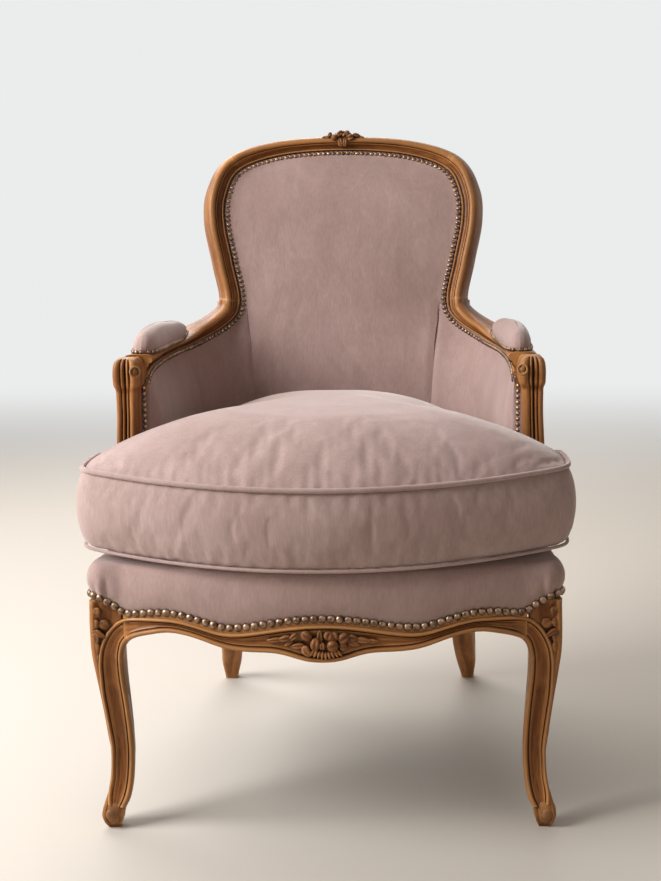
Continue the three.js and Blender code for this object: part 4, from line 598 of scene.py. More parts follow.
def edit_all(obj, tool, **settings):
    """Uses an edit-mode tool on the whole of a mesh."""
    activate(obj)
    bpy.ops.object.mode_set(mode="EDIT")
    bpy.ops.mesh.select_all(action="SELECT")
    tool(**settings)
    bpy.ops.object.mode_set(mode="OBJECT")


def apply_modifier(obj, kind, **settings):
    activate(obj)
    modifier = obj.modifiers.new(kind.lower(), kind)
    for name, value in settings.items():
        setattr(modifier, name, value)
    bpy.ops.object.modifier_apply(modifier=modifier.name)
    return obj


def skin_points(obj):
    vertices = obj.data.vertices
    return np.array([v.co for v in vertices]), np.array([v.normal for v in vertices])


def move_points(obj, points):
    obj.data.vertices.foreach_set("co", points.ravel())
    obj.data.update()


def mesh_piece(name, points, faces, material, uvs=None):
    """An object from points in millimetres, its faces turned outwards."""
    mesh = bpy.data.meshes.new(name)
    placed = np.asarray(points, float).reshape(-1, 3) * MM + np.array(chair_origin)
    mesh.from_pydata(placed.tolist(), [], faces)
    obj = bpy.data.objects.new(name, mesh)
    bpy.context.scene.collection.objects.link(obj)
    if uvs is not None:
        layer = mesh.uv_layers.new(name="UVMap")
        flat = [c for loop in mesh.loops for c in uvs[loop.vertex_index]]
        layer.data.foreach_set("uv", flat)
    mesh.materials.append(material)
    edit_all(obj, bpy.ops.mesh.normals_make_consistent, inside=False)
    return obj


def soften(obj, angle=50):
    activate(obj)
    bpy.ops.object.shade_smooth_by_angle(angle=math.radians(angle))
    return obj


def loft(name, rings, material, looped=False, angle=50, capped=True):
    """A closed skin over rings of points, with its own map: length along it, girth round it."""
    rings = np.asarray(rings, float)
    r, n = rings.shape[:2]
    index = np.arange(r * n).reshape(r, n)
    faces = []
    for a in range(r if looped else r - 1):
        b = (a + 1) % r
        for i in range(n):
            j = (i + 1) % n
            faces.append((index[a, i], index[a, j], index[b, j], index[b, i]))
    if capped and not looped:
        faces.append(tuple(index[0, ::-1]))
        faces.append(tuple(index[-1]))
    far, round_it = run_of(rings.mean(1)), run_of(rings[r // 2])
    uvs = [(far[a] * MM, round_it[i] * MM) for a in range(r) for i in range(n)]
    return soften(mesh_piece(name, rings, faces, material, uvs), angle)


def mirror_copy(obj, name):
    """The same piece on the other side of the chair."""
    mesh = obj.data.copy()
    mesh.name = name
    mesh.transform(Matrix.Diagonal((-1, 1, 1, 1)))
    mesh.flip_normals()
    copy = bpy.data.objects.new(name, mesh)
    bpy.context.scene.collection.objects.link(copy)
    return copy


def join(objects, name):
    deselect()
    for obj in objects:
        obj.select_set(True)
    bpy.context.view_layer.objects.active = objects[0]
    bpy.ops.object.join()
    objects[0].name = name
    objects[0].data.name = name
    return objects[0]


def wear(obj, body, slot, *nodes):
    """A finished piece rides on its body, has its finish's slot and stands for its nodes."""
    obj.name = obj.data.name = slot + "_" + obj.name.split(".")[0]
    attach(obj, body)
    if nodes:
        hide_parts(*nodes)
    return obj


def both_sides(obj, name, slot, *nodes):
    """The piece on the right, and its mirror image on the left."""
    other = mirror_copy(obj, name + "_left")
    obj.name = name + "_right"
    wear(obj, "chair", slot, *[n + "_right" for n in nodes])
    wear(other, "chair", slot, *[n + "_left" for n in nodes])
    return obj, other


def sheet_grid(name, points):
    """A sheet of velvet over a grid of points."""
    rows, columns = points.shape[:2]
    index = np.arange(rows * columns).reshape(rows, columns)
    faces = [
        (index[r, c], index[r, c + 1], index[r + 1, c + 1], index[r + 1, c])
        for r in range(rows - 1)
        for c in range(columns - 1)
    ]
    return mesh_piece(name, points, faces, velvet)


def thicken(obj, inward):
    """Gives a sheet velvet's thickness; inward is a point of the room that its outer side faces away from."""
    towards = Vector(inward) * MM + chair_origin
    if sum(p.normal.dot(p.center - towards) * p.area for p in obj.data.polygons) < 0:
        obj.data.flip_normals()
    return soften(apply_modifier(obj, "SOLIDIFY", thickness=VELVET * MM, offset=-1), 60)


# ---------------------------------------------------------------- show frame


def moulding_ring(place):
    point, out, back = line_frame(place)
    reach = reach_at(place)
    shift = edge_shift(place)
    front = [(mix(shift, reach, o), -h) for o, h in MOULDING]
    side = [(reach - o, b) for o, b in OUTER_ROUND] + [(0.0, RAIL_BACK)]
    edge = 1 - REBATE_WIDTH
    inner = [(edge, RAIL_BACK), (-REBATE_WIDTH, RAIL_BACK - 1), (-REBATE_WIDTH, 1.0), (edge, 0.0)]
    return np.array([point + out * o + back * b for o, b in front + side + inner])


def moulded_rail(name, start, end, steps):
    places = np.linspace(start + JOINT_GAP, end - JOINT_GAP, steps + 1)
    return loft(name, [moulding_ring(p) for p in places], walnut, angle=40)


def arm_rail():
    rings = np.array([moulding_ring(p) for p in np.linspace(0, NECK - JOINT_GAP, 111)])
    rings[..., 1] = np.maximum(rings[..., 1], line_point(0)[1])
    return loft("arm_rail", rings, walnut, angle=40)


def post_turn(z):
    return mix(*POST_TURNS, np.clip((z - RAIL_TOP) / (neck_height - RAIL_TOP), 0, 1))


def post_ring(z):
    a, b = post_turn(z) - turn_span(POST_HALF), post_turn(z) + turn_span(POST_HALF)
    corners = ((a, POST_INNER), (b, POST_INNER), (b, BAR_BACK), (a, BAR_BACK))
    return np.array([wall(turn, z, depth) for turn, depth in corners])


def round_corners(ring, share=0.18, steps=4):
    """A four-cornered ring with its corners rounded."""
    out = []
    n = len(ring)
    for i in range(n):
        before, here, after = ring[i - 1], ring[i], ring[(i + 1) % n]
        a, b = mix(here, before, share), mix(here, after, share)
        for s in shares(steps):
            out.append((1 - s) ** 2 * a + 2 * s * (1 - s) * here + s**2 * b)
    return np.array(out)


def rear_leg():
    """The back post below its seat: it tapers and rakes back to a small foot."""
    seat = post_ring(LEG_TOP)
    foot_middle = np.array([*REAR_FOOT, 0.0])
    foot = foot_middle + np.array([(1, -1, 0), (-1, -1, 0), (-1, 1, 0), (1, 1, 0)]) * REAR_FOOT_HALF
    seat_middle = seat.mean(0)
    rings = [round_corners(post_ring(z)) for z in np.linspace(neck_height, LEG_TOP + 20, 14)]
    for height in np.linspace(1, 0, 40):
        way, taper, size = curve_table(REAR_LEG, height)[0]
        centre = mix(seat_middle, foot_middle, way)
        corners = centre + mix(seat - seat_middle, foot - foot_middle, taper) * size
        corners[:, 2] = height * LEG_TOP
        rings.append(round_corners(corners, mix(0.18, 0.3, taper)))
    return loft("rear_leg", rings, walnut, angle=45)


def crest_and_posts():
    stile = moulded_rail("stile", NECK, SHOULDER, 60)
    post = join([stile, rear_leg()], "back_post")
    both_sides(post, "back_post", "walnut", "back_post")
    both_sides(arm_rail(), "arm_rail", "walnut", "arm_rail")
    return moulded_rail("crest_rail", SHOULDER, LINE_SPANS - SHOULDER, 96)


def front_face(x):
    return FRONT_RAIL_Y + FRONT_RAIL_BOW * (x / FRONT_RAIL_BOW_SPAN) ** 2


def front_rail_heights(x):
    under, nailed = curve_table(FRONT_RAIL, abs(x) / KNEE_INNER_X)[0] * RAIL_TOP
    return under, nailed


def front_rail_body():
    """The serpentine apron behind its moulding, with a fillet and a rebate for the nails along its top."""
    rings = []
    for x in np.linspace(-KNEE_INNER_X + 0.3, KNEE_INNER_X - 0.3, 161):
        under, nailed = front_rail_heights(x)
        face = front_face(x)
        back = face + FRONT_RAIL_DEPTH
        section = [
            (back, under + 3), (back - 3, under + 0.2), (face + 5, under + 0.2), (face + 2, under + 2),
            (face + 2, nailed - 10), (face + 0.4, nailed - 8.6), (face + 0.4, nailed - 1.5),
            (face + 5.6, nailed + 0.5), (face + 6, RAIL_TOP - 1), (face + 7, RAIL_TOP), (back - 1, RAIL_TOP),
            (back, RAIL_TOP - 1),
        ]
        rings.append([(x, y, z) for y, z in section])
    return loft("front_rail", rings, walnut, angle=38)


def leg_centre(height):
    sweep, knee, size = curve_table(FRONT_LEG, height / RAIL_TOP)[0]
    x = FRONT_FOOT_X - KNEE_INSET_X * knee - ANKLE_SWEEP * sweep
    y = FRONT_FOOT_Y + KNEE_INSET_Y * knee + ANKLE_SWEEP * sweep
    return x, y, size * KNEE_HALF


def leg_point(height, u, v):
    x, y, half = leg_centre(height)
    if u > 0:
        u *= mix(1.0, KNEE_TRIM, ease((height - 110) / 90))
    if v < -0.5:
        v *= mix(1.0, 1.13, ease((height - 284) / 22))
    return np.array([x + u * half, y + v * half, height])


def front_y(x, z):
    """The front surface that the moulding lies on: the rail's face, then the leg's."""
    _, y, half = leg_centre(min(z, 335.0))
    on_leg = max(float(ease((abs(x) - 258) / 40)), float(ease((265 - z) / 25)))
    return mix(front_face(min(abs(x), 290.0)), y - 0.97 * half, on_leg)


def front_moulding(name, edges):
    """A band with a reed along each edge and a hollow between, from pairs of edge points."""
    inner = np.array([(x, front_y(x, z), z) for x, z, _, _ in edges])
    outer = np.array([(x, front_y(x, z), z) for _, _, x, z in edges])
    across = outer - inner
    width = np.linalg.norm(across, axis=1)
    across /= width[:, None]
    forward = unit(np.cross(np.gradient((inner + outer) / 2, axis=0), across))
    forward *= -np.sign(forward[:, 1:2])
    rings = []
    for i, w in enumerate(width):
        size = min(1.0, w / 21.0)
        section = [(d * size, h * size) for d, h in INNER_REED]
        hollow = w - (INNER_REED[-1][0] + OUTER_REED[0][0]) * size
        start = INNER_REED[-1][0] * size
        section += [(start + hollow * t, 0.4 - 2.2 * math.sin(math.pi * t)) for t in (0.15, 0.35, 0.5, 0.65, 0.85)]
        section += [(w - d * size, h * size) for d, h in OUTER_REED]
        section += [(w, -9.0), (0.0, -9.0)]
        rings.append([inner[i] + across[i] * d + forward[i] * h for d, h in section])
    return loft(name, rings, walnut, angle=42)


def knee_edges(start, end, steps):
    table = np.array(KNEE_MOULDING)
    keyed = np.column_stack([np.arange(len(table)), table])
    return curve_table(keyed, np.linspace(start, end, steps))


def front_rail_moulding():
    straight = np.linspace(-226, 226, 150)
    middle = [(x, front_rail_heights(x)[0], x, front_rail_heights(x)[1] - 8.0) for x in straight]
    knee = [tuple(e) for e in knee_edges(0, KNEE_JOINT, 26)]
    other = [(-a, b, -c, d) for a, b, c, d in knee[::-1]]
    return front_moulding("rail_moulding", smooth_rows(np.array(other + middle + knee), 30))


def smooth_rows(rows, times=6):
    rows = rows.copy()
    for _ in range(times):
        rows[1:-1] = (rows[:-2] + 2 * rows[1:-1] + rows[2:]) / 4
    return rows


def front_leg_body():
    """The cabriole leg behind its moulding: rounded at its outer corner, cut away at its inner one."""
    rings = []
    heights = np.concatenate([np.linspace(0, 0.1, 18)[:-1], np.linspace(0.1, 0.97, 70)]) * RAIL_TOP
    section = rounded(LEG_SECTION, 1)
    for z in heights:
        size = float(mix(0.84, 1, ease(z / 9)))
        rings.append([leg_point(z, u * size, v * size) for u, v in section])
    return loft("front_leg", rings, walnut, angle=40)


def foot_scroll():
    """The bulb of the foot, cut flat at the floor, with the small knob that the leg's moulding curls into."""
    x, y, half = leg_centre(20.0)
    bulb = lobe((x + 0.5, y - half * 0.3, 23.0), (16.2, 12.4, 19.0))
    knob = lobe((x + 3.0, y - half * 0.3 - 9.6, 22.0), (8.0, 5.4, 8.6))
    edit_all(bulb, bpy.ops.mesh.bisect, plane_co=(0, 0, 0), plane_no=(0, 0, -1), clear_outer=True, use_fill=True)
    for part in (bulb, knob):
        part.data.transform(Matrix.Translation(chair_origin) @ Matrix.Scale(MM, 4))
        part.data.materials.append(plain_walnut)
        soften(part, 60)
    return [bulb, knob]


def front_leg():
    moulding = front_moulding("leg_moulding", knee_edges(KNEE_JOINT + 0.02, len(KNEE_MOULDING) - 1, 130))
    return join([front_leg_body(), moulding, *foot_scroll()], "front_leg")


def arm_post():
    rings = []
    back = line_point(0)[1] - 0.3
    foot = RAIL_TOP + 0.3
    section = rounded(ARM_POST_SECTION, 1, False)
    for rise in np.concatenate([np.linspace(0, 0.82, 30), np.linspace(0.83, 1, 34)]):
        out, forward, size = curve_table(ARM_POST, rise)[0]
        x, y = ARM_POST_X + out * ARM_POST_HALF, ARM_POST_Y - forward * ARM_POST_HALF
        half = size * ARM_POST_HALF
        z = mix(foot, ARM_POST_TOP, rise)
        rings.append([(x + u * half, back if v > 0.8 else y + v * half, z) for u, v in section])
    return loft("arm_post", rings, walnut, angle=46)


def side_rail():
    """The plain rail under the arm, with a small bead along its lower edge."""
    rings = []
    for s in shares(70):
        ring = []
        for z, depth in SIDE_RAIL:
            turn = mix(leg_turn, post_turn(z) - turn_span(RAIL_SHOULDER), s)
            p = wall(turn, z, depth + side_flare(turn))
            if s == 0:
                p[1] = LEG_BACK
            ring.append(p)
        rings.append(ring)
    return loft("side_rail", rings, walnut, angle=40)


def rear_rail():
    rings = []
    for s in shares(60):
        edges = [post_turn(z) + turn_span(RAIL_SHOULDER) for z, _ in REAR_RAIL]
        rings.append([wall(mix(edge, 2 - edge, s), z, depth) for edge, (z, depth) in zip(edges, REAR_RAIL)])
    return loft("rear_rail", rings, walnut, angle=40)


# ---------------------------------------------------------------- carving


def lobe(centre, radii, rotation=(0, 0, 0), point=0.0, crease=0.0):
    """A petal, leaf or bud: a rounded lobe along its own X, drawn to a point and creased along its middle."""
    bpy.ops.mesh.primitive_uv_sphere_add(segments=20, ring_count=12, radius=1)
    obj = bpy.context.object
    for v in obj.data.vertices:
        narrow = 1 - point * abs((v.co.x + 1) / 2) ** 1.5
        v.co.y *= narrow
        if v.co.z > 0:
            v.co.z *= 1 - crease * math.exp(-((v.co.y / 0.3) ** 2))
    turn = Euler([math.radians(a) for a in rotation]).to_matrix().to_4x4()
    obj.data.transform(Matrix.Translation(Vector(centre)) @ turn @ Matrix.Diagonal((*radii, 1)))
    return obj


def petals(table, fullness=1.0):
    """Lobes from rows of place, height, half length, half width, half depth, turn, point and crease."""
    return [
        lobe((x, y, z), (a * fullness, b * fullness, c), (0, 0, turn), point, crease)
        for x, y, z, a, b, c, turn, point, crease in table
    ]


def carving(name, parts, onto, voxel=0.55):
    """Lobes cut from one block: fused, softened, and set on the wood by a function from flat to place."""
    obj = apply_modifier(join(parts, name), "REMESH", mode="VOXEL", voxel_size=voxel)
    apply_modifier(obj, "SMOOTH", factor=0.5, iterations=3)
    for v in obj.data.vertices:
        v.co = Vector(np.asarray(onto(*v.co)) * MM) + chair_origin
    obj.data.materials.append(plain_walnut)
    edit_all(obj, bpy.ops.mesh.normals_make_consistent, inside=False)
    return soften(obj, 180)


APRON_PETALS = [
    (-23, 13, 2.2, 6.0, 5.0, 4.2, -30, 0, 0.35), (-12, 3, 3.0, 6.6, 5.2, 4.8, 80, 0, 0.3),
    (-23, -6, 1.8, 6.2, 5.2, 4.0, -50, 0.3, 0.4), (-3, 1, 3.4, 3.8, 3.2, 3.8, 90, 0, 0.4),
    (10, 1, 3.2, 6.0, 5.8, 4.8, 20, 0, 0.25), (5, 13, 2.4, 4.6, 5.2, 4.0, 70, 0, 0.4),
    (12, 12, 2.0, 4.6, 5.2, 3.8, 110, 0, 0.4), (24, 10, 2.2, 6.2, 5.4, 4.2, 35, 0, 0.4),
    (23, 0, 1.4, 4.0, 4.8, 3.2, 0, 0, 0.2), (-6, 12, 1.2, 6.0, 4.0, 2.8, 90, 0.4, 0.5),
    (-64, 7, 0.6, 8.0, 3.2, 2.8, 183, 0.6, 0.5), (-51, 9, 1.2, 7.0, 4.0, 3.2, 190, 0.5, 0.5),
    (-40, 11, 1.4, 5.6, 3.6, 3.2, 215, 0.5, 0.5), (-46, 3.5, 0.8, 5.4, 2.6, 2.6, 215, 0.6, 0.3),
    (-35, 0, 0.8, 7.6, 3.8, 3.0, 184, 0.5, 0.5), (36, 10, 1.2, 5.6, 4.0, 3.2, -10, 0.5, 0.5),
    (37, 3, 0.8, 6.6, 3.6, 2.8, -18, 0.5, 0.5), (50, 6.5, 0.8, 8.6, 3.8, 3.0, -8, 0.6, 0.5),
    (61, 5, 0.2, 6.0, 2.8, 2.2, -4, 0.6, 0.4),
]
CREST_PETALS = [
    (0.5, 1.5, -1.4, 16.0, 8.6, 3.8, 0, 0, 0), (-23, 0.5, -1.6, 10.0, 3.2, 2.8, 6, 0.2, 0),
    (26, 0.5, -1.6, 11.0, 3.2, 2.8, -6, 0.2, 0), (-7, 4.5, 1.4, 5.0, 4.0, 4.2, 30, 0, 0.2),
    (8, 3.0, 1.4, 4.6, 4.0, 4.2, -20, 0, 0.2), (-14.5, 0, 2.6, 5.2, 5.0, 4.6, 0, 0, 0),
    (13.5, 0, 2.6, 5.8, 5.4, 4.6, 20, 0, 0.4), (-4, -7, 2.2, 7.2, 4.2, 4.0, -80, -0.25, 0.3),
    (4, -7, 2.2, 7.2, 4.2, 4.0, -100, -0.25, 0.3), (-4, 6.6, 2.0, 5.0, 4.6, 3.8, 40, 0.1, 0.35),
    (8.0, 7.0, 1.6, 4.6, 4.2, 3.4, 150, 0.1, 0.35), (2.5, 3.5, 3.2, 3.0, 2.6, 3.2, 0, 0, 0),
    (-21.5, 5.5, 1.4, 3.4, 3.2, 3.0, 20, 0, 0.3), (-25.5, 1, 1.0, 4.4, 3.0, 2.8, 160, 0.3, 0.4),
    (-32, 1.0, 0.4, 4.4, 2.4, 2.4, 190, 0.6, 0.4), (24, 4.0, 1.2, 6.0, 3.4, 3.0, -12, 0.4, 0.5),
    (33, 0.5, 0.6, 5.4, 2.6, 2.4, -16, 0.6, 0.4),
]
KNEE_PETALS = [
    (0, 32, 2.4, 6.4, 5.2, 4.4, 90, 0, 0.35), (2, 16, 2.2, 6.0, 4.6, 4.2, 90, 0, 0.35),
    (-10, 15, 1.6, 6.4, 6.4, 3.8, 30, 0, 0.45), (10, 24, 1.4, 6.4, 5.0, 3.6, 75, 0, 0.35),
    (12, 10, 1.2, 6.0, 4.6, 3.4, 100, 0, 0.35), (-4, 1, 1.8, 8.4, 4.4, 3.8, -145, 0.5, 0.5),
    (6, 0, 1.8, 8.4, 4.4, 3.8, -40, 0.5, 0.5), (1, -5, 1.8, 8.0, 4.2, 3.6, -90, 0.5, 0.5),
    (3, -20, 1.0, 9.0, 5.4, 3.0, -90, 0.5, 0.4), (4, -35, 0.6, 9.0, 4.4, 2.6, -90, 0.55, 0.4),
    (4, -50, 0.2, 9.0, 3.4, 2.2, -90, 0.6, 0.4),
]


def apron_carving():
    """Blossoms and leaves in the middle of the front rail, over a ribbed shell."""
    parts = petals(APRON_PETALS, 1.26)
    for k in range(-4, 5):
        rib = (1 + k * 4.4, -12 + abs(k) * 0.9, 1.0)
        parts.append(lobe(rib, (5.6, 2.3, 3.0), (0, 0, -90 + k * 9), 0.2))

    def onto(x, y, z):
        return (1.06 * x + 3, front_face(x) - 1.2 - 1.4 * z, 288 + 1.12 * y)

    return carving("front_rail_carving", parts, onto)


def crest_carving():
    """Two rosettes, buds and leaves over a bell in the middle of the crest."""
    parts = petals(CREST_PETALS, 1.1)
    middle = LINE_SPANS / 2
    span = np.linalg.norm(line_point(middle + 0.1) - line_point(middle - 0.1)) / 0.2

    def onto(x, y, z):
        point, out, back = line_frame(middle - x / span)
        return point + out * (CREST_REACH - 1.5 + 1.12 * y) + back * (-5.0 - 1.7 * z)

    return carving("crest_carving", parts, onto)


def knee_carving():
    """A blossom on the knee, with husks that hang down the leg's outer corner."""
    parts = petals(KNEE_PETALS, 1.18)

    def onto(x, y, z):
        height = 287 + y
        cx, cy, half = leg_centre(min(height, 330))
        radius = 0.42 * half
        side = half * 0.94 * mix(1.0, KNEE_TRIM, ease((height - 110) / 90))
        centre = np.array([cx + side - radius, cy - half + radius])
        angle = max(0.0, x + 3) / radius
        far = radius + 0.2 + z
        flat = centre + np.array([math.sin(angle), -math.cos(angle)]) * far + np.array([min(0.0, x + 3), 0.0])
        return (flat[0] - 4.0, flat[1], height)

    return carving("knee_carving", parts, onto, 0.6)


def post_volute():
    """The turned rosette on the inner face of the arm post's head."""
    bpy.ops.mesh.primitive_torus_add(major_segments=40, minor_segments=10, major_radius=7.2, minor_radius=1.7)
    ring = bpy.context.object
    boss = lobe((0, 0, 0), (4.0, 4.0, 2.6))
    obj = join([ring, boss], "post_volute")
    x, y, half = ARM_POST_X, ARM_POST_Y, ARM_POST_HALF
    turn = Vector((-0.45, -0.9, 0.1)).to_track_quat("Z", "Y").to_matrix().to_4x4()
    place = Matrix.Translation(Vector((x - half * 0.62, y - half * 1.1, 634)))
    obj.data.transform(Matrix.Translation(chair_origin) @ Matrix.Scale(MM, 4) @ place @ turn)
    obj.data.materials.append(plain_walnut)
    return soften(obj, 180)


# ---------------------------------------------------------------- covers


def coons(bottom, right, top, left):
    """Turns and heights filled in between four edges; rows run from bottom to top."""
    rows, columns = len(left), len(bottom)
    u, v = shares(columns - 1)[None, :, None], shares(rows - 1)[:, None, None]
    bottom, right, top, left = (np.asarray(e, float) for e in (bottom, right, top, left))
    grid = mix(bottom[None], top[None], v) + mix(left[:, None], right[:, None], u)
    grid = grid - mix(mix(bottom[0], bottom[-1], u), mix(top[0], top[-1], u), v)
    grid[:, 0], grid[:, -1], grid[0], grid[-1] = left, right, bottom, top
    return grid


def frame_node(place, out):
    p = on_frame(place, out, 0.0)
    return turn_of(p), p[2]


def pillow(t):
    return 1 - np.abs(2 * t - 1) ** 3


def top_fade(v):
    return 1 - np.maximum(0, 2 * v - 1) ** 3


def seam_line(z):
    """Turn of the seam between back and arm at a height."""
    return mix(SEAM_TURN, frame_node(NECK, PAD_EDGE)[0], (z - PAD_BOTTOM) / (neck_height - PAD_BOTTOM))


def seam_dip(nodes, side):
    """How far the cloth is drawn in along that seam; past it, the cloth dives under its neighbour."""
    apart = (np.minimum(nodes[..., 0], 2 - nodes[..., 0]) - seam_line(nodes[..., 1])) / turn_span(1.0) * side
    dip = SEAM_DIP * np.exp(-((apart / SEAM_SPAN) ** 2)) + np.maximum(0, -apart) * 0.9
    return dip * ease((neck_height + 10 - nodes[..., 1]) / 30)


def creases(points, table, low, high):
    """Soft upright folds: place across, width, height and lean; they fade out between two heights."""
    x, z = points[..., 0], points[..., 2]
    total = sum(h * np.exp(-(((x - place - lean * (z - low)) / w) ** 2)) for place, w, h, lean in table)
    return total * ease((high - z) / (high - low))


def seam_swell(z):
    return SEAM_CROWN * ease((neck_height - z) / SEAM_FADE)


def soft_waves(points, height, size, seed):
    """Small, smooth unevenness of stuffed cloth, in millimetres."""
    rng = np.random.default_rng(seed)
    p = np.asarray(points, float)
    total = np.zeros(p.shape[:-1])
    for _ in range(9):
        direction = unit(rng.normal(size=3))
        wave = rng.uniform(0.7, 1.8) / size
        total += np.sin(p @ direction * wave * 2 * math.pi + rng.uniform(0, 6.28))
    return total / 3 * height


def hemmed(inner, hem_left, hem_right, hem_top):
    """Adds the cloth's lap over the wood round a grid: sides and top."""
    rows, columns = inner.shape[:2]
    grid = np.zeros((rows + 1, columns + 2, 2))
    grid[:rows, 1:-1] = inner
    grid[:rows, 0], grid[:rows, -1] = hem_left, hem_right
    grid[rows, 1:-1] = hem_top
    grid[rows, 0], grid[rows, -1] = hem_top[0], hem_top[-1]
    return grid


def other_side(nodes):
    return nodes * [-1, 1] + [2, 0]


def nodes_along(places, out):
    """Turns and heights at places on the frame line, each let out by what a function gives."""
    return np.array([frame_node(p, out(p)) for p in places])


def pad_edge(place):
    return PAD_EDGE


def hem_edge(place):
    return HEM_REACH + edge_shift(place)


def lap_edge(place):
    return LAP_SHARE * reach_at(place)


def cover_parts(inner):
    """Shares across and up a grid, and its points on the wall."""
    rows, columns = inner.shape[:2]
    return shares(columns - 1)[None, :], shares(rows - 1)[:, None], wall(inner[..., 0], inner[..., 1])


def cover(name, grid, depth):
    return thicken(sheet_grid(name, wall(grid[..., 0], grid[..., 1], depth)), ROOM_POINTS[name])


def inside_back():
    low, high, across = 26, 54, 84
    neck_turn = frame_node(NECK, PAD_EDGE)[0]
    seam_edge = SEAM_TURN - turn_span(SEAM_LAP)
    seam = [(mix(seam_edge, neck_turn, s), mix(PAD_BOTTOM, neck_height, s)) for s in shares(low)][:-1]
    stile = np.linspace(NECK, SHOULDER, high + 1)
    crest = np.linspace(SHOULDER, LINE_SPANS - SHOULDER, across + 1)
    right = np.vstack([seam, nodes_along(stile, pad_edge)])
    left = other_side(right)
    bottom = np.array([(mix(right[0][0], left[0][0], u), PAD_BOTTOM) for u in shares(across)])
    inner = coons(bottom, left, nodes_along(crest, pad_edge), right)
    hem = np.vstack([seam, nodes_along(stile, hem_edge)])
    hem[:low, 0] -= turn_span(0.4)
    grid = hemmed(inner, hem, other_side(hem), nodes_along(crest, hem_edge))
    u, v, flat = cover_parts(inner)
    swell = BACK_CROWN * top_fade(v) * mix(seam_swell(inner[..., 1]), 1, pillow(u))
    depth = np.full(grid.shape[:2], -0.3 - VELVET)
    swell = swell + EDGE_SWELL + soft_waves(flat, 0.5, 190, 4) * np.clip(swell / 8, 0, 1)
    swell = swell + creases(flat, BACK_CREASES, 430, 620)
    depth[: len(inner), 1:-1] = seam_dip(inner, 1) - swell - 0.3 - VELVET
    return cover("back_cover", grid, depth)


def inside_arm():
    rows_up, across = 34, 72
    start = arm_start + turn_span(0.3)
    places = [min(max(p, 0.15), 6.9) for p in np.linspace(0, NECK, across + 1)]
    top = nodes_along(places, pad_edge)
    seam = SEAM_TURN + turn_span(SEAM_LAP)
    right = np.array([(mix(seam, top[-1][0], s), mix(PAD_BOTTOM, top[-1][1], s)) for s in shares(rows_up)])
    left = np.array([(mix(start, top[0][0], s), mix(PAD_BOTTOM, top[0][1], s)) for s in shares(rows_up)])
    bottom = np.array([(mix(start, seam, u), PAD_BOTTOM) for u in shares(across)])
    inner = coons(bottom, right, top, left)
    grid = hemmed(inner, left - [turn_span(1.4), 0], right, nodes_along(places, hem_edge))
    u, v, flat = cover_parts(inner)
    side = np.where(u > 0.5, seam_swell(inner[..., 1]), 0)
    swell = mix(ARM_CROWN, BACK_CROWN, u) * top_fade(v) * mix(side, 1, pillow(u))
    depth = np.full(grid.shape[:2], -0.3 - VELVET)
    swell = swell + EDGE_SWELL * ease(12 * u) + soft_waves(flat, 0.6, 150, 7) * np.clip(swell / 8, 0, 1)
    depth[: len(inner), 1:-1] = seam_dip(inner, -1) - swell - 0.3 - VELVET
    depth[: len(inner), -1] = depth[: len(inner), -2]
    depth[:, 0] = TURN_IN
    return cover("arm_cover", grid, depth)


def outside_arm():
    across, up = 64, 26
    low = 318.0
    start = arm_start + turn_span(0.3)
    stop = 5.6

    def post_line(z):
        return float(post_turn(z)) - turn_span(0.7), z

    def top_edge(out):
        last = stop + 0.25
        nodes = np.vstack([nodes_along(np.linspace(0.3, stop, across), out), post_line(frame_node(last, out(last))[1])])
        nodes[0, 0] = start
        return nodes

    top = top_edge(pad_edge)
    bottom = np.array([(mix(start, post_line(low)[0], u), low) for u in shares(across)])
    right = np.array([post_line(mix(low, top[-1][1], s)) for s in shares(up)])
    left = np.array([(mix(start, top[0][0], s), mix(low, top[0][1], s)) for s in shares(up)])
    inner = coons(bottom, right, top, left)
    grid = hemmed(inner, left, right, top_edge(lap_edge))[:, 1:-1]
    u, v, flat = cover_parts(inner)
    depth = np.full(grid.shape[:2], RAIL_BACK + 1.6 + VELVET)
    swell = OUTER_CROWN * top_fade(v) * mix(0.5, 1, pillow(u))
    depth[: len(inner)] += (swell + soft_waves(flat, 0.35, 170, 11)) * ease(2 * v)
    return cover("outside_arm_cover", grid, depth)


def outside_back():
    low_rows, high, across = 26, 54, 84
    low = 300.0
    heights = np.linspace(low, neck_height, low_rows + 1)[:-1]
    lower = [(float(post_turn(z)) + turn_span(0.7), z) for z in heights]
    stile = np.linspace(NECK, SHOULDER, high + 1)
    crest = np.linspace(SHOULDER, LINE_SPANS - SHOULDER, across + 1)
    right, hem = (np.vstack([lower, nodes_along(stile, out)]) for out in (pad_edge, lap_edge))
    left = other_side(right)
    bottom = np.array([(mix(right[0][0], left[0][0], u), low) for u in shares(across)])
    inner = coons(bottom, left, nodes_along(crest, pad_edge), right)
    grid = hemmed(inner, hem, other_side(hem), nodes_along(crest, lap_edge))
    u, v, flat = cover_parts(inner)
    depth = np.full(grid.shape[:2], RAIL_BACK + 1.1 + VELVET)
    swell = OUTER_CROWN * top_fade(v) * mix(np.where(v > 0.33, 0, 0.5), 1, pillow(u))
    depth[: len(inner), 1:-1] += (swell + soft_waves(flat, 0.35, 190, 5)) * ease(2 * v)
    return cover("outside_back_cover", grid, depth)


# ---------------------------------------------------------------- arm rests


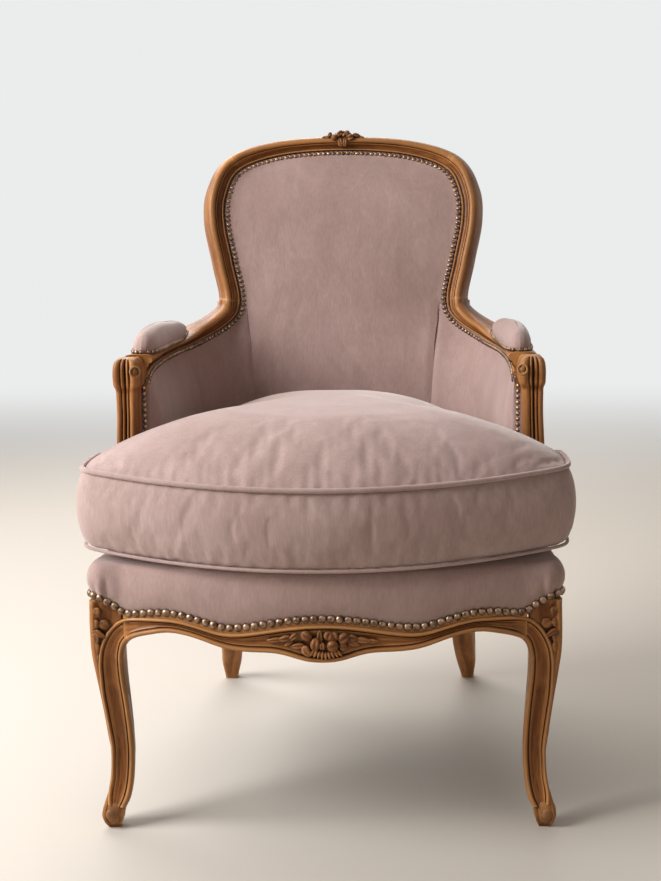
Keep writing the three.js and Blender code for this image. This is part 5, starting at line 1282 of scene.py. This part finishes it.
REST_TURNS = (0.07, 0.545)
REST_DEPTH = 7.0
REST_HALF = 21.0
REST_HEIGHT = 25.5
REST_DOME = 13.0
REST_LIFT = 15.0
REST_PLAN = [
    (0, 0.0), (0.008, 0.26), (0.03, 0.5), (0.075, 0.7), (0.15, 0.87), (0.28, 0.98), (0.5, 1.03),
    (0.72, 1.0), (0.87, 0.9), (0.95, 0.68), (0.985, 0.42), (0.997, 0.2), (1, 0.0),
]
REST_SECTION = [
    (0, 0.93), (0.12, 0.98), (0.28, 1.01), (0.45, 0.98), (0.62, 0.88), (0.77, 0.73), (0.89, 0.53),
    (0.97, 0.28), (1.0, 0.06),
]


def rest_loop(rise, width, steps=60):
    ends = 1 - (1 - width) * 0.35
    side = []
    for s in shares(steps):
        t = 0.5 - 0.5 * math.cos(math.pi * s)
        half = curve_table(REST_PLAN, t)[0][0]
        side.append((mix(0.5, t, ends), max(0.0, min(half, 1.02)) * width * REST_HALF))
    loop = []
    for sign, order in ((1, side), (-1, side[::-1])):
        for along, half in order:
            turn = mix(*REST_TURNS, along)
            lift = REST_LIFT * float(ease((turn - 0.42) / 0.2))
            dome = REST_DOME * (1 - (2 * along - 1) ** 2)
            p = wall(turn, ARM_LINE_HEIGHT, REST_DEPTH + sign * half)
            p[2] = ARM_TOP_HEIGHT - 0.8 + lift + rise * (REST_HEIGHT + dome)
            loop.append(p)
    return np.array(loop)


def arm_rest():
    table = np.array(REST_SECTION)
    keys = np.linspace(0, 1, 22) * (len(table) - 1)
    rise, width = (np.interp(keys, np.arange(len(table)), table[:, k]) for k in (0, 1))
    return loft("arm_rest_pad", [rest_loop(r, w) for r, w in zip(rise, width)], velvet, angle=180)


# ---------------------------------------------------------------- seat


FRONT_STEPS = 10
DECK_EAR_END = -183.0
DECK_EAR_BACK = -165.0
BORDER_TOP = 383.0
DECK_BULGE = 7.0
SEAT_CENTRE = np.array([0.0, -230.0])
# Rings of the deck inside its border: inset, share of the way out from the centre, height
DECK_RINGS = [
    (1.5, 1.0, 384.0), (6.0, 1.0, 387.3), (14.0, 1.0, 388.0), (14.0, 0.8, 388.0), (14.0, 0.55, 388.0),
    (14.0, 0.3, 388.0), (14.0, 0.1, 388.0),
]
# Pleats of the border over the knees: place across, width and height
PLEATS = [(287.0, 6.0, 1.0), (300.0, 3.6, -2.2), (308.0, 4.0, 1.8), (317.0, 2.6, -2.0)]
KNEE_CLOTH = [
    (-0.6, -1.12, 0.957), (-0.15, -1.13, 0.976), (0.25, -1.1, 0.992), (0.62, -0.88, 0.998),
    (0.84, -0.4, 0.998), (0.84, 0.4, 0.985),
]


def deck_stations():
    """Round the seat's border: place, the cloth's lower edge, and 1 where it bulges and is nailed."""
    half = KNEE_INNER_X - 0.3
    rows = []
    for s in shares(2 * FRONT_STEPS):
        nailed = front_rail_heights(half * s)[1]
        rows.append((half * s, front_face(half * s) + 4.1, nailed + 0.3, 1))
    knee_x, knee_y = FRONT_FOOT_X - KNEE_INSET_X, FRONT_FOOT_Y + KNEE_INSET_Y
    for u, v, height in KNEE_CLOTH:
        rows.append((knee_x + u * KNEE_HALF, knee_y + v * KNEE_HALF, height * RAIL_TOP, 1))
    outer = []
    for s in (0, 1 / 3, 2 / 3):
        turn = mix(leg_turn, arm_start, s)
        p = wall(turn, RAIL_TOP, RAIL_BACK + 3.2 + side_flare(turn))
        outer.append((p[0], LEG_BACK if s == 0 else p[1]))
    a, b = outer[-2], outer[-1]

    def ear_x(y):
        return mix(a[0], b[0], (y - a[1]) / (b[1] - a[1]))

    for x, y in outer[:-1]:
        rows.append((x, y, RAIL_TOP - 9, 1))
    rows.append((ear_x(DECK_EAR_END), DECK_EAR_END, RAIL_TOP - 9, 1))
    rows.append((ear_x(DECK_EAR_BACK), DECK_EAR_BACK, RAIL_TOP + 0.3, 0))
    rows.append((ARM_HALF_WIDTH + 1.5, DECK_EAR_BACK, RAIL_TOP + 0.3, 0))
    start = turn_of((ARM_HALF_WIDTH, DECK_EAR_BACK + 14))
    for s in shares(14):
        p = wall(mix(start, 1, s), RAIL_TOP, 1.5)
        rows.append((p[0], p[1], RAIL_TOP + 0.3, 0))
    return np.array(rows, float)


def closed_stations(half):
    other = half[1:-1][::-1].copy()
    other[:, 0] *= -1
    return np.vstack([half, other])


def inset_loop(loop, distance):
    """A loop in plan drawn in by a distance, or let out by a negative one."""
    before = loop - np.roll(loop, 1, axis=0)
    after = np.roll(loop, -1, axis=0) - loop
    n1 = unit(np.stack([before[:, 1], -before[:, 0]], 1))
    n2 = unit(np.stack([after[:, 1], -after[:, 0]], 1))
    corner = (n1 + n2) / (1 + (n1 * n2).sum(1, keepdims=True))
    return loop - corner * distance


deck_rows = closed_stations(deck_stations())
deck_loop = deck_rows[:, :2]


def deck_ring(share, inset=0.0):
    bulge = deck_rows[:, 3] * (1 - (2 * share - 1) ** 2)
    loop = mix(inset_loop(deck_loop, inset), inset_loop(deck_loop, inset - DECK_BULGE), bulge[:, None])
    z = mix(deck_rows[:, 2], BORDER_TOP, share)
    return np.column_stack([loop, z])


def seat_deck():
    """The sprung seat: a border nailed to the front rail, rolled over into a flat deck."""
    rings = []
    for inset, lift in ((16.0, 4.0), (4.0, 1.0), (1.5, 0.2)):
        ring = deck_ring(0.0, inset)
        ring[:, 2] += lift
        rings.append(ring)
    rings += [deck_ring(s) for s in (0, 0.04, 0.14, 0.3, 0.5, 0.7, 0.88)]
    for inset, share, z in DECK_RINGS:
        ring = SEAT_CENTRE + (inset_loop(deck_loop, inset) - SEAT_CENTRE) * share
        rings.append(np.column_stack([ring, np.full(len(ring), z)]))
    obj = subdivide(loft("seat_deck", rings, velvet, angle=180), 2)
    points, normals = skin_points(obj)
    local = (points - np.array(chair_origin)) / MM
    fade = ease((local[:, 2] - 338) / 8) * ease((384 - local[:, 2]) / 36)
    depth = np.zeros(len(points))
    for x, width, height in PLEATS:
        at = np.abs(local[:, 0]) - x
        depth += height * np.exp(-((at / width) ** 2)) * fade * (local[:, 1] < -235)
    move_points(obj, points + normals * (depth * MM)[:, None])
    return obj


# ---------------------------------------------------------------- cushion


CUSHION_FRONT_Y = -385.0
CUSHION_BOW = 92.0
CUSHION_HALF_WIDTH = 339.0
CUSHION_INSET = 27.0
CUSHION_BOTTOM = 392.0
BORDER_HEIGHT = 109.0
CUSHION_CROWN = 86.0
CUSHION_SAG = 1.5
CROWN_POWER = 2.5
CROWN_SHIFT = 150.0
EAR_RISE = 14.0
EAR_RISE_SPAN = 60.0
EAR_BACK_Y = -171.0
EAR_RADIUS = 14.0
FRONT_RADIUS = 30.0
FRONT_TURN = [(0.45, 0.25), (0.85, 0.7), (1, 1.4)]
CUSHION_VOXEL = 0.006
FILLING_PRESSURE = 4.0
FILLING_GROWTH = 0.009
SWELL_LIMIT = 6.0
SEAM_HOLD = 0.005
CLOTH_STEPS = 20
PIPING_RADIUS = 3.6
LOWER_PIPING_SHARE = 0.66
BORDER_BULGE = 7.0
BORDER_SHOWS_Y = -185.0


def cushion_outline():
    corner = CUSHION_HALF_WIDTH - FRONT_RADIUS
    across = corner * shares(12)
    front = list(zip(across, CUSHION_FRONT_Y + CUSHION_BOW * (across / CUSHION_HALF_WIDTH) ** 2))
    low = front[-1][1]
    turn = [(corner + x * FRONT_RADIUS, low + y * FRONT_RADIUS) for x, y in FRONT_TURN]
    start = turn_of((ARM_HALF_WIDTH, EAR_BACK_Y + 2 * EAR_RADIUS))
    body = [tuple(wall(mix(start, 1, s), DECK_HEIGHT, -CUSHION_INSET)[:2]) for s in shares(24)]
    ear = [
        (CUSHION_HALF_WIDTH, EAR_BACK_Y - EAR_RADIUS),
        (CUSHION_HALF_WIDTH - EAR_RADIUS / 2, EAR_BACK_Y),
        (ARM_HALF_WIDTH, EAR_BACK_Y),
        (body[0][0] + 0.3, EAR_BACK_Y + EAR_RADIUS / 2),
    ]
    half = np.array(front + turn + ear + body)
    loop = np.vstack([half, half[1:-1][::-1] * [-1, 1]])
    return evenly(rounded(loop, 2), 360, True)


cushion_loop = cushion_outline()


def seam_height(loop, top):
    across = (np.abs(loop[:, 0]) / CUSHION_HALF_WIDTH) ** 2
    forward = ease((EAR_BACK_Y - loop[:, 1]) / EAR_RISE_SPAN + 1)
    return CUSHION_BOTTOM + (BORDER_HEIGHT if top else 0) + EAR_RISE * across * forward


def panel_ring(share, top):
    panel = inset_loop(cushion_loop, PIPING_RADIUS)
    shift = CROWN_SHIFT * (1 - share) ** 2
    plan = np.column_stack([panel[:, 0] * share, mix(SEAT_CENTRE[1], panel[:, 1], share) + shift])
    swell = (CUSHION_CROWN if top else -CUSHION_SAG) * (1 - share**CROWN_POWER)
    middle = CUSHION_BOTTOM + (BORDER_HEIGHT if top else 0)
    return np.column_stack([plan, mix(middle, seam_height(cushion_loop, top), share**2) + swell])


def band_ring(share):
    shows = ease((BORDER_SHOWS_Y - cushion_loop[:, 1]) / EAR_RADIUS)
    corner = 1 + 0.5 * ease((np.abs(cushion_loop[:, 0]) - 240) / 90)
    bulge = shows * corner * (1 - (2 * share - 1) ** 2)
    loop = mix(cushion_loop, inset_loop(cushion_loop, -BORDER_BULGE), bulge[:, None])
    low, high = seam_height(cushion_loop, False) + 3, seam_height(cushion_loop, True) - 3
    return np.column_stack([loop, mix(low, high, share)])


def cushion_body():
    """The stuffed cover: crowned top and flat bottom sewn to a border, swollen by its filling."""
    rings = [panel_ring(s, False) for s in (0.05, 0.3, 0.6, 0.85, 0.97, 1.0)]
    rings += [band_ring(s) for s in (0.02, 0.15, 0.3, 0.45, 0.6, 0.75, 0.88, 0.98)]
    rings += [panel_ring(s, True) for s in (1.0, 0.97, 0.93, 0.88, 0.8, 0.7, 0.58, 0.45, 0.3, 0.15, 0.05)]
    obj = loft("seat_cushion", rings, velvet_painted_paler, angle=180)
    apply_modifier(obj, "REMESH", mode="VOXEL", voxel_size=CUSHION_VOXEL)
    return apply_modifier(obj, "SMOOTH", factor=0.5, iterations=4)


def seam(top):
    return np.column_stack([cushion_loop, seam_height(cushion_loop, top)])


def seam_distance(points):
    """How far each point is from the nearer of the cushion's two seams, in metres, and how far along it."""
    best = np.full(len(points), 1e9)
    along = np.zeros(len(points))
    for top in (False, True):
        far = run_of(seam(top))
        sewn = seam(top) * MM + np.array(chair_origin)
        for k in range(0, len(points), 4000):
            part = slice(k, k + 4000)
            d = np.linalg.norm(points[part][:, None] - sewn[None], axis=2)
            nearer = d.min(1) < best[part]
            along[part] = np.where(nearer, far[d.argmin(1)], along[part])
            best[part] = np.minimum(best[part], d.min(1))
    return best, along


def pucker(obj, height, reach, pitch):
    """Fine gathers where the cover is drawn into its seams, stronger here and weaker there."""
    points, normals = skin_points(obj)
    distance, along = seam_distance(points)
    wander = np.sin(along / 61) + np.sin(along / 37 + 2)
    strength = 0.55 + 0.45 * np.sin(along / 83 + 1.3 * np.sin(along / 140))
    wave = np.sin(2 * math.pi * along / pitch + 1.6 * wander) * strength * np.exp(-distance / (reach * MM))
    wave *= ease(distance / (PIPING_RADIUS * MM))
    move_points(obj, points + normals * (wave * height * MM)[:, None])


def inflate(obj):
    """Cloth swells over its filling while its seams are held; no point moves further than the limit."""
    start = np.array([v.co for v in obj.data.vertices], float)
    group = obj.vertex_groups.new(name="seams")
    distance, _ = seam_distance(start)
    group.add(np.nonzero(distance < SEAM_HOLD)[0].tolist(), 1.0, "REPLACE")
    cloth = obj.modifiers.new("filling", "CLOTH")
    settings = cloth.settings
    settings.quality = 4
    settings.mass = 0.3
    settings.tension_stiffness = settings.compression_stiffness = 12
    settings.bending_stiffness = 0.4
    settings.use_pressure = True
    settings.uniform_pressure_force = FILLING_PRESSURE
    settings.shrink_min = -FILLING_GROWTH
    settings.vertex_group_mass = group.name
    settings.effector_weights.gravity = 0
    cloth.collision_settings.use_self_collision = False
    cloth.point_cache.frame_start, cloth.point_cache.frame_end = 1, CLOTH_STEPS
    scene = bpy.context.scene
    for step in range(1, CLOTH_STEPS + 1):
        scene.frame_set(step)
    swollen = obj.evaluated_get(bpy.context.evaluated_depsgraph_get())
    move = np.array([v.co for v in swollen.data.vertices], float) - start
    far = np.linalg.norm(move, axis=1, keepdims=True)
    obj.modifiers.remove(cloth)
    scene.frame_set(1)
    move_points(obj, start + move * np.minimum(1, SWELL_LIMIT * MM / np.maximum(far, 1e-9)))
    obj.vertex_groups.remove(group)


def subdivide(obj, levels=1):
    return apply_modifier(obj, "SUBSURF", levels=levels, render_levels=levels)


def piping(top):
    """A covered cord sewn into the seam; the lower one is sunk between the cloths."""
    thickness = PIPING_RADIUS if top else PIPING_RADIUS * LOWER_PIPING_SHARE
    sewn = seam(top)
    along = unit(np.roll(sewn, -1, axis=0) - np.roll(sewn, 1, axis=0))
    out = unit(np.cross(along, [0, 0, 1.0]))
    up = unit(np.cross(out, along))
    angles = np.linspace(0, 2 * math.pi, 13)[:-1]
    rings = [
        [sewn[i] + out[i] * math.cos(a) * thickness + up[i] * math.sin(a) * thickness for a in angles]
        for i in range(len(sewn))
    ]
    return loft("piping", rings, velvet_painted_paler, looped=True, angle=180)


# ---------------------------------------------------------------- nails


def nail_shape():
    """One dome nail, its face towards +Z: a low sphere cut at its rim."""
    bpy.ops.mesh.primitive_uv_sphere_add(segments=10, ring_count=8, radius=1)
    nail = bpy.context.object
    edit_all(nail, bpy.ops.mesh.bisect, plane_co=(0, 0, -0.02), plane_no=(0, 0, 1), clear_inner=True, use_fill=True)
    nail.data.transform(Matrix.Diagonal((1, 1, 0.72, 1)))
    return nail


def nail_row(name, places, facing, radius, seed):
    """Copies of one nail at places in millimetres, each turned to its facing, a little unevenly."""
    rng = np.random.default_rng(seed)
    model = nail_shape()
    base = np.array([v.co for v in model.data.vertices])
    polygons = [tuple(p.vertices) for p in model.data.polygons]
    bpy.data.objects.remove(model)
    points, faces = [], []
    for place, normal in zip(places, facing):
        tilt = Vector(normal + rng.normal(size=3) * 0.07).normalized()
        turn = np.array(tilt.to_track_quat("Z", "Y").to_matrix())
        size = radius * rng.uniform(0.94, 1.05)
        first = len(points)
        points.extend((base * size) @ turn.T + place)
        faces.extend(tuple(i + first for i in polygon) for polygon in polygons)
    return soften(mesh_piece(name, points, faces, nail_metal), 60)


def along_line(path, normals, pitch):
    """Places and facings at an even pitch along a path."""
    path, normals = np.asarray(path, float), np.asarray(normals, float)
    far = run_of(path)
    both = np.column_stack([path, normals])
    at = np.linspace(0, far[-1], max(2, int(round(far[-1] / pitch)) + 1))
    both = np.stack([np.interp(at, far, both[:, k]) for k in range(6)], 1)
    return both[:, :3], unit(both[:, 3:])


def on_both_sides(path, normals):
    """A row's places and facings on the left, then on the right."""
    return [np.vstack([row * [-1, 1, 1], row]) for row in (path, normals)]


def frame_nails():
    places = np.linspace(0.12, LINE_SPANS - 0.12, 700)
    path = np.array([on_frame(p, edge_shift(p) - 0.8, -VELVET - 2.2) for p in places])
    normals = -np.array([line_frame(p)[2] for p in places])
    return nail_row("frame_nails", *along_line(path, normals, NAIL_PITCH), NAIL_RADIUS, 21)


def post_nails():
    """Nails down the inner edges of the arm posts, where the arm's cloth ends."""
    front = line_point(0)
    z = np.linspace(front[2] - NAIL_PITCH * 0.6, POST_NAILS_END, 60)
    path = np.column_stack([np.full(60, ARM_HALF_WIDTH + 3.2), np.full(60, front[1] - 2.2), z])
    normals = np.tile([-0.55, -0.83, 0.0], (len(z), 1))
    row = along_line(path, unit(normals), NAIL_PITCH)
    return nail_row("arm_post_nails", *on_both_sides(*row), NAIL_RADIUS, 22)


def seat_nails():
    ring = deck_ring(0.0)
    count = len(deck_stations())
    nailed = [i for i in range(count) if deck_rows[i, 3] > 0]
    right = ring[nailed]
    path = np.vstack([right[::-1] * [-1, 1, 1], right[1:]])
    path[:, 2] -= 1.0
    path = evenly(rounded(path, 2, False), 600)
    along = unit(np.gradient(path, axis=0))
    out = unit(np.cross(along, [0, 0, 1.0]))
    return nail_row("seat_nails", *along_line(path + out * 2.6, out, SEAT_NAIL_PITCH), SEAT_NAIL_RADIUS, 23)


def rest_nails():
    loop = rest_loop(0.0, 0.97)
    loop[:, 2] += 3.0
    loop = evenly(loop, 200, True)
    along = unit(np.roll(loop, -1, axis=0) - np.roll(loop, 1, axis=0))
    out = unit(np.cross(along, [0, 0, 1.0]))
    if ((loop - loop.mean(0)) * out).sum() < 0:
        out = -out
    path, normals = along_line(loop + out * 1.7, out, REST_NAIL_PITCH)
    return nail_row("arm_rest_nails", *on_both_sides(path[:-1], normals[:-1]), REST_NAIL_RADIUS, 24)


# ---------------------------------------------------------------- hidden layers


def dress_hidden_layers():
    """The inner pieces keep the frame's shape and get their own finishes."""
    finishes = {
        "bare_wood": beech, "jute": jute, "hair": hair, "steel": spring_steel, "filling": ticking,
        "black_cloth": black_cloth, "velvet": velvet, "brass": nail_metal, "walnut": plain_walnut,
    }
    slots = {s["node"]: s["material_slot"] for s in frame["record"]["subparts"]}
    for name, node in frame["nodes"].items():
        node.data.materials.clear()
        node.data.materials.append(finishes[slots[name]])


def dust_cover():
    """Black lining cloth tacked under the seat, a little slack."""
    low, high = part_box("dust_cover")
    mesh = frame["nodes"]["dust_cover"].data.copy()
    mesh.name = "lining_cloth"
    obj = bpy.data.objects.new("lining_cloth", mesh)
    bpy.context.scene.collection.objects.link(obj)
    edit_all(obj, bpy.ops.mesh.remove_doubles, threshold=0.00001)
    edit_all(obj, bpy.ops.mesh.subdivide, number_cuts=6)
    centre, half = (low + high) / 2, (high - low) / 2
    for v in mesh.vertices:
        x, y = (v.co.x - centre.x) / half.x, (v.co.y - centre.y) / half.y
        slack = max(0.0, (1 - x * x) * (1 - y * y))
        v.co.z -= (LINING_SAG + LINING_RIPPLE * math.sin(v.co.x * 90)) * slack
    mesh.materials.clear()
    mesh.materials.append(black_cloth)
    return soften(obj, 60)


# ---------------------------------------------------------------- stage


# Camera: place in metres, then yaw, pitch down and roll in degrees; the image in pixels
CAMERA_PLACE = (0.124, -2.134, 0.854)
CAMERA_TURNS = (0.89, 9.30, -0.49)
IMAGE_WIDTH, IMAGE_HEIGHT = 661.0, 881.0
FOCAL_PIXELS = 1365.0
MIDDLE_COLUMN = 393.1
# Where the floor starts to fade and where it is gone, in metres behind the world's middle
FLOOR_FADE = (-0.6, 3.0)
BACKDROP = (0.83, 0.84, 0.84, 1)
LAMP_TARGET = Vector((0, 0, 0.5))
LAMPS = [
    ("window", (-2.3, -0.9, 1.9), (1.5, 1.7), 128, (0.98, 0.99, 1)),
    ("room", (2.0, -2.4, 1.6), (2.4, 2.0), 6, (1, 0.9, 0.8)),
    ("behind", (-0.9, 1.9, 2.5), (3.2, 2.4), 84, (1, 0.99, 0.98)),
]


def place_camera(scene):
    """The photograph's view: a lens at eye height, a little right of the middle, turned slightly down."""
    data = bpy.data.cameras.new("camera")
    camera = bpy.data.objects.new("camera", data)
    scene.collection.objects.link(camera)
    scene.camera = camera
    yaw, pitch, roll = (math.radians(a) for a in CAMERA_TURNS)
    right = Vector((math.cos(yaw), math.sin(yaw), 0))
    ahead = Vector((-math.sin(yaw), math.cos(yaw), 0)) * math.cos(pitch) + Vector((0, 0, -1)) * math.sin(pitch)
    up = right.cross(ahead)
    turned = right * math.cos(roll) + up * math.sin(roll)
    up = up * math.cos(roll) - right * math.sin(roll)
    rotation = Matrix((turned, up, -ahead)).transposed().to_4x4()
    camera.matrix_world = Matrix.Translation(Vector(CAMERA_PLACE) + chair_origin) @ rotation
    data.sensor_fit = "AUTO"
    data.lens = FOCAL_PIXELS / IMAGE_HEIGHT * data.sensor_width
    data.shift_x = (IMAGE_WIDTH / 2 - MIDDLE_COLUMN) / IMAGE_HEIGHT
    data.clip_start = 0.05


def lay_floor():
    """A pale floor that fades into the backdrop behind the chair."""
    material, nodes, links, surface = new_material("pale_floor")
    finish(surface, Base_Color=(0.56, 0.51, 0.45, 1), Roughness=0.7)
    split = nodes.new("ShaderNodeSeparateXYZ")
    links.new(nodes.new("ShaderNodeTexCoord").outputs["Object"], split.inputs[0])
    far = nodes.new("ShaderNodeMapRange")
    far.interpolation_type = "SMOOTHSTEP"
    far.inputs["From Min"].default_value, far.inputs["From Max"].default_value = FLOOR_FADE
    links.new(split.outputs["Y"], far.inputs["Value"])
    glow = nodes.new("ShaderNodeEmission")
    glow.inputs["Color"].default_value = BACKDROP
    fade = nodes.new("ShaderNodeMixShader")
    for output, place in ((far.outputs["Result"], 0), (surface.outputs["BSDF"], 1), (glow.outputs["Emission"], 2)):
        links.new(output, fade.inputs[place])
    links.new(fade.outputs["Shader"], nodes["Material Output"].inputs["Surface"])
    bpy.ops.mesh.primitive_plane_add(size=14, location=(0, 2, 0))
    floor = bpy.context.object
    floor.name = "floor"
    floor.data.materials.append(material)


def fill_room(scene):
    """Warm light from all round, and a pale backdrop where the camera or a reflection looks past the chair."""
    world = bpy.data.worlds.new("soft_room")
    scene.world = world
    world.use_nodes = True
    nodes, links = world.node_tree.nodes, world.node_tree.links
    around = nodes["Background"]
    around.inputs["Color"].default_value = (1, 0.9, 0.8, 1)
    around.inputs["Strength"].default_value = 0.225
    seen = nodes.new("ShaderNodeBackground")
    seen.inputs["Color"].default_value = BACKDROP
    path = nodes.new("ShaderNodeLightPath")
    rays = path.outputs["Is Camera Ray"]
    for other in ("Is Glossy Ray", "Is Transmission Ray"):
        either = nodes.new("ShaderNodeMath")
        either.operation = "MAXIMUM"
        links.new(rays, either.inputs[0])
        links.new(path.outputs[other], either.inputs[1])
        rays = either.outputs[0]
    pick = nodes.new("ShaderNodeMixShader")
    for output, place in ((rays, 0), (around.outputs["Background"], 1), (seen.outputs["Background"], 2)):
        links.new(output, pick.inputs[place])
    links.new(pick.outputs["Shader"], nodes["World Output"].inputs["Surface"])


def hang_lamp(scene, name, place, size, power, color):
    light = bpy.data.lights.new(name, "AREA")
    light.shape, light.size, light.size_y = "RECTANGLE", size[0], size[1]
    light.energy, light.color = power, color
    obj = bpy.data.objects.new(name, light)
    scene.collection.objects.link(obj)
    obj.location = place
    obj.rotation_euler = (LAMP_TARGET - Vector(place)).to_track_quat("-Z", "Y").to_euler()


def set_stage():
    scene = bpy.context.scene
    scene.view_settings.view_transform = "Standard"
    place_camera(scene)
    lay_floor()
    fill_room(scene)
    for lamp in LAMPS:
        hang_lamp(scene, *lamp)


# ---------------------------------------------------------------- the chair


set_stage()
dress_hidden_layers()

wear(crest_and_posts(), "chair", "walnut", "crest_rail")
wear(crest_carving(), "chair", "walnut")
wear(join([front_rail_body(), front_rail_moulding()], "front_rail"), "chair", "walnut", "front_rail")
wear(apron_carving(), "chair", "walnut")
both_sides(front_leg(), "front_leg", "walnut", "front_leg")
both_sides(knee_carving(), "knee_carving", "walnut")
both_sides(arm_post(), "arm_post", "walnut", "arm_post")
both_sides(post_volute(), "arm_post_volute", "walnut")
both_sides(side_rail(), "side_rail", "walnut", "side_rail")
wear(rear_rail(), "chair", "walnut", "rear_seat_rail")

back = wear(inside_back(), "chair", "velvet", "back_cover", "back_stuffing")
for pad in both_sides(inside_arm(), "arm_cover", "velvet", "arm_cover", "arm_stuffing"):
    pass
outer = wear(outside_back(), "chair", "velvet", "outside_back_cover")
for side in both_sides(outside_arm(), "outside_arm_cover", "velvet", "outside_arm_cover"):
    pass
for rest in both_sides(arm_rest(), "arm_rest_pad", "velvet", "arm_rest_cover", "arm_rest_stuffing"):
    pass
deck = wear(seat_deck(), "chair", "velvet", "deck_cover", "seat_stuffing")

cushion = cushion_body()
inflate(cushion)
pucker(cushion, 1.2, 16.0, 21.0)
subdivide(cushion)
soften(cushion, 180)
wear(cushion, "cushion", "velvet", "cushion_top", "cushion_bottom", "cushion_border", "cushion_filling")
for top in (True, False):
    cord = piping(top)
    cord.name = "cushion_top_welt" if top else "cushion_bottom_welt"
    wear(cord, "cushion", "velvet", "cushion_top_piping" if top else "cushion_bottom_piping")

wear(frame_nails(), "chair", "brass", "inside_nails")
wear(post_nails(), "chair", "brass")
wear(seat_nails(), "chair", "brass", "seat_nails")
wear(rest_nails(), "chair", "brass", "arm_rest_nails_right", "arm_rest_nails_left")
lining = wear(dust_cover(), "chair", "black_cloth", "dust_cover")
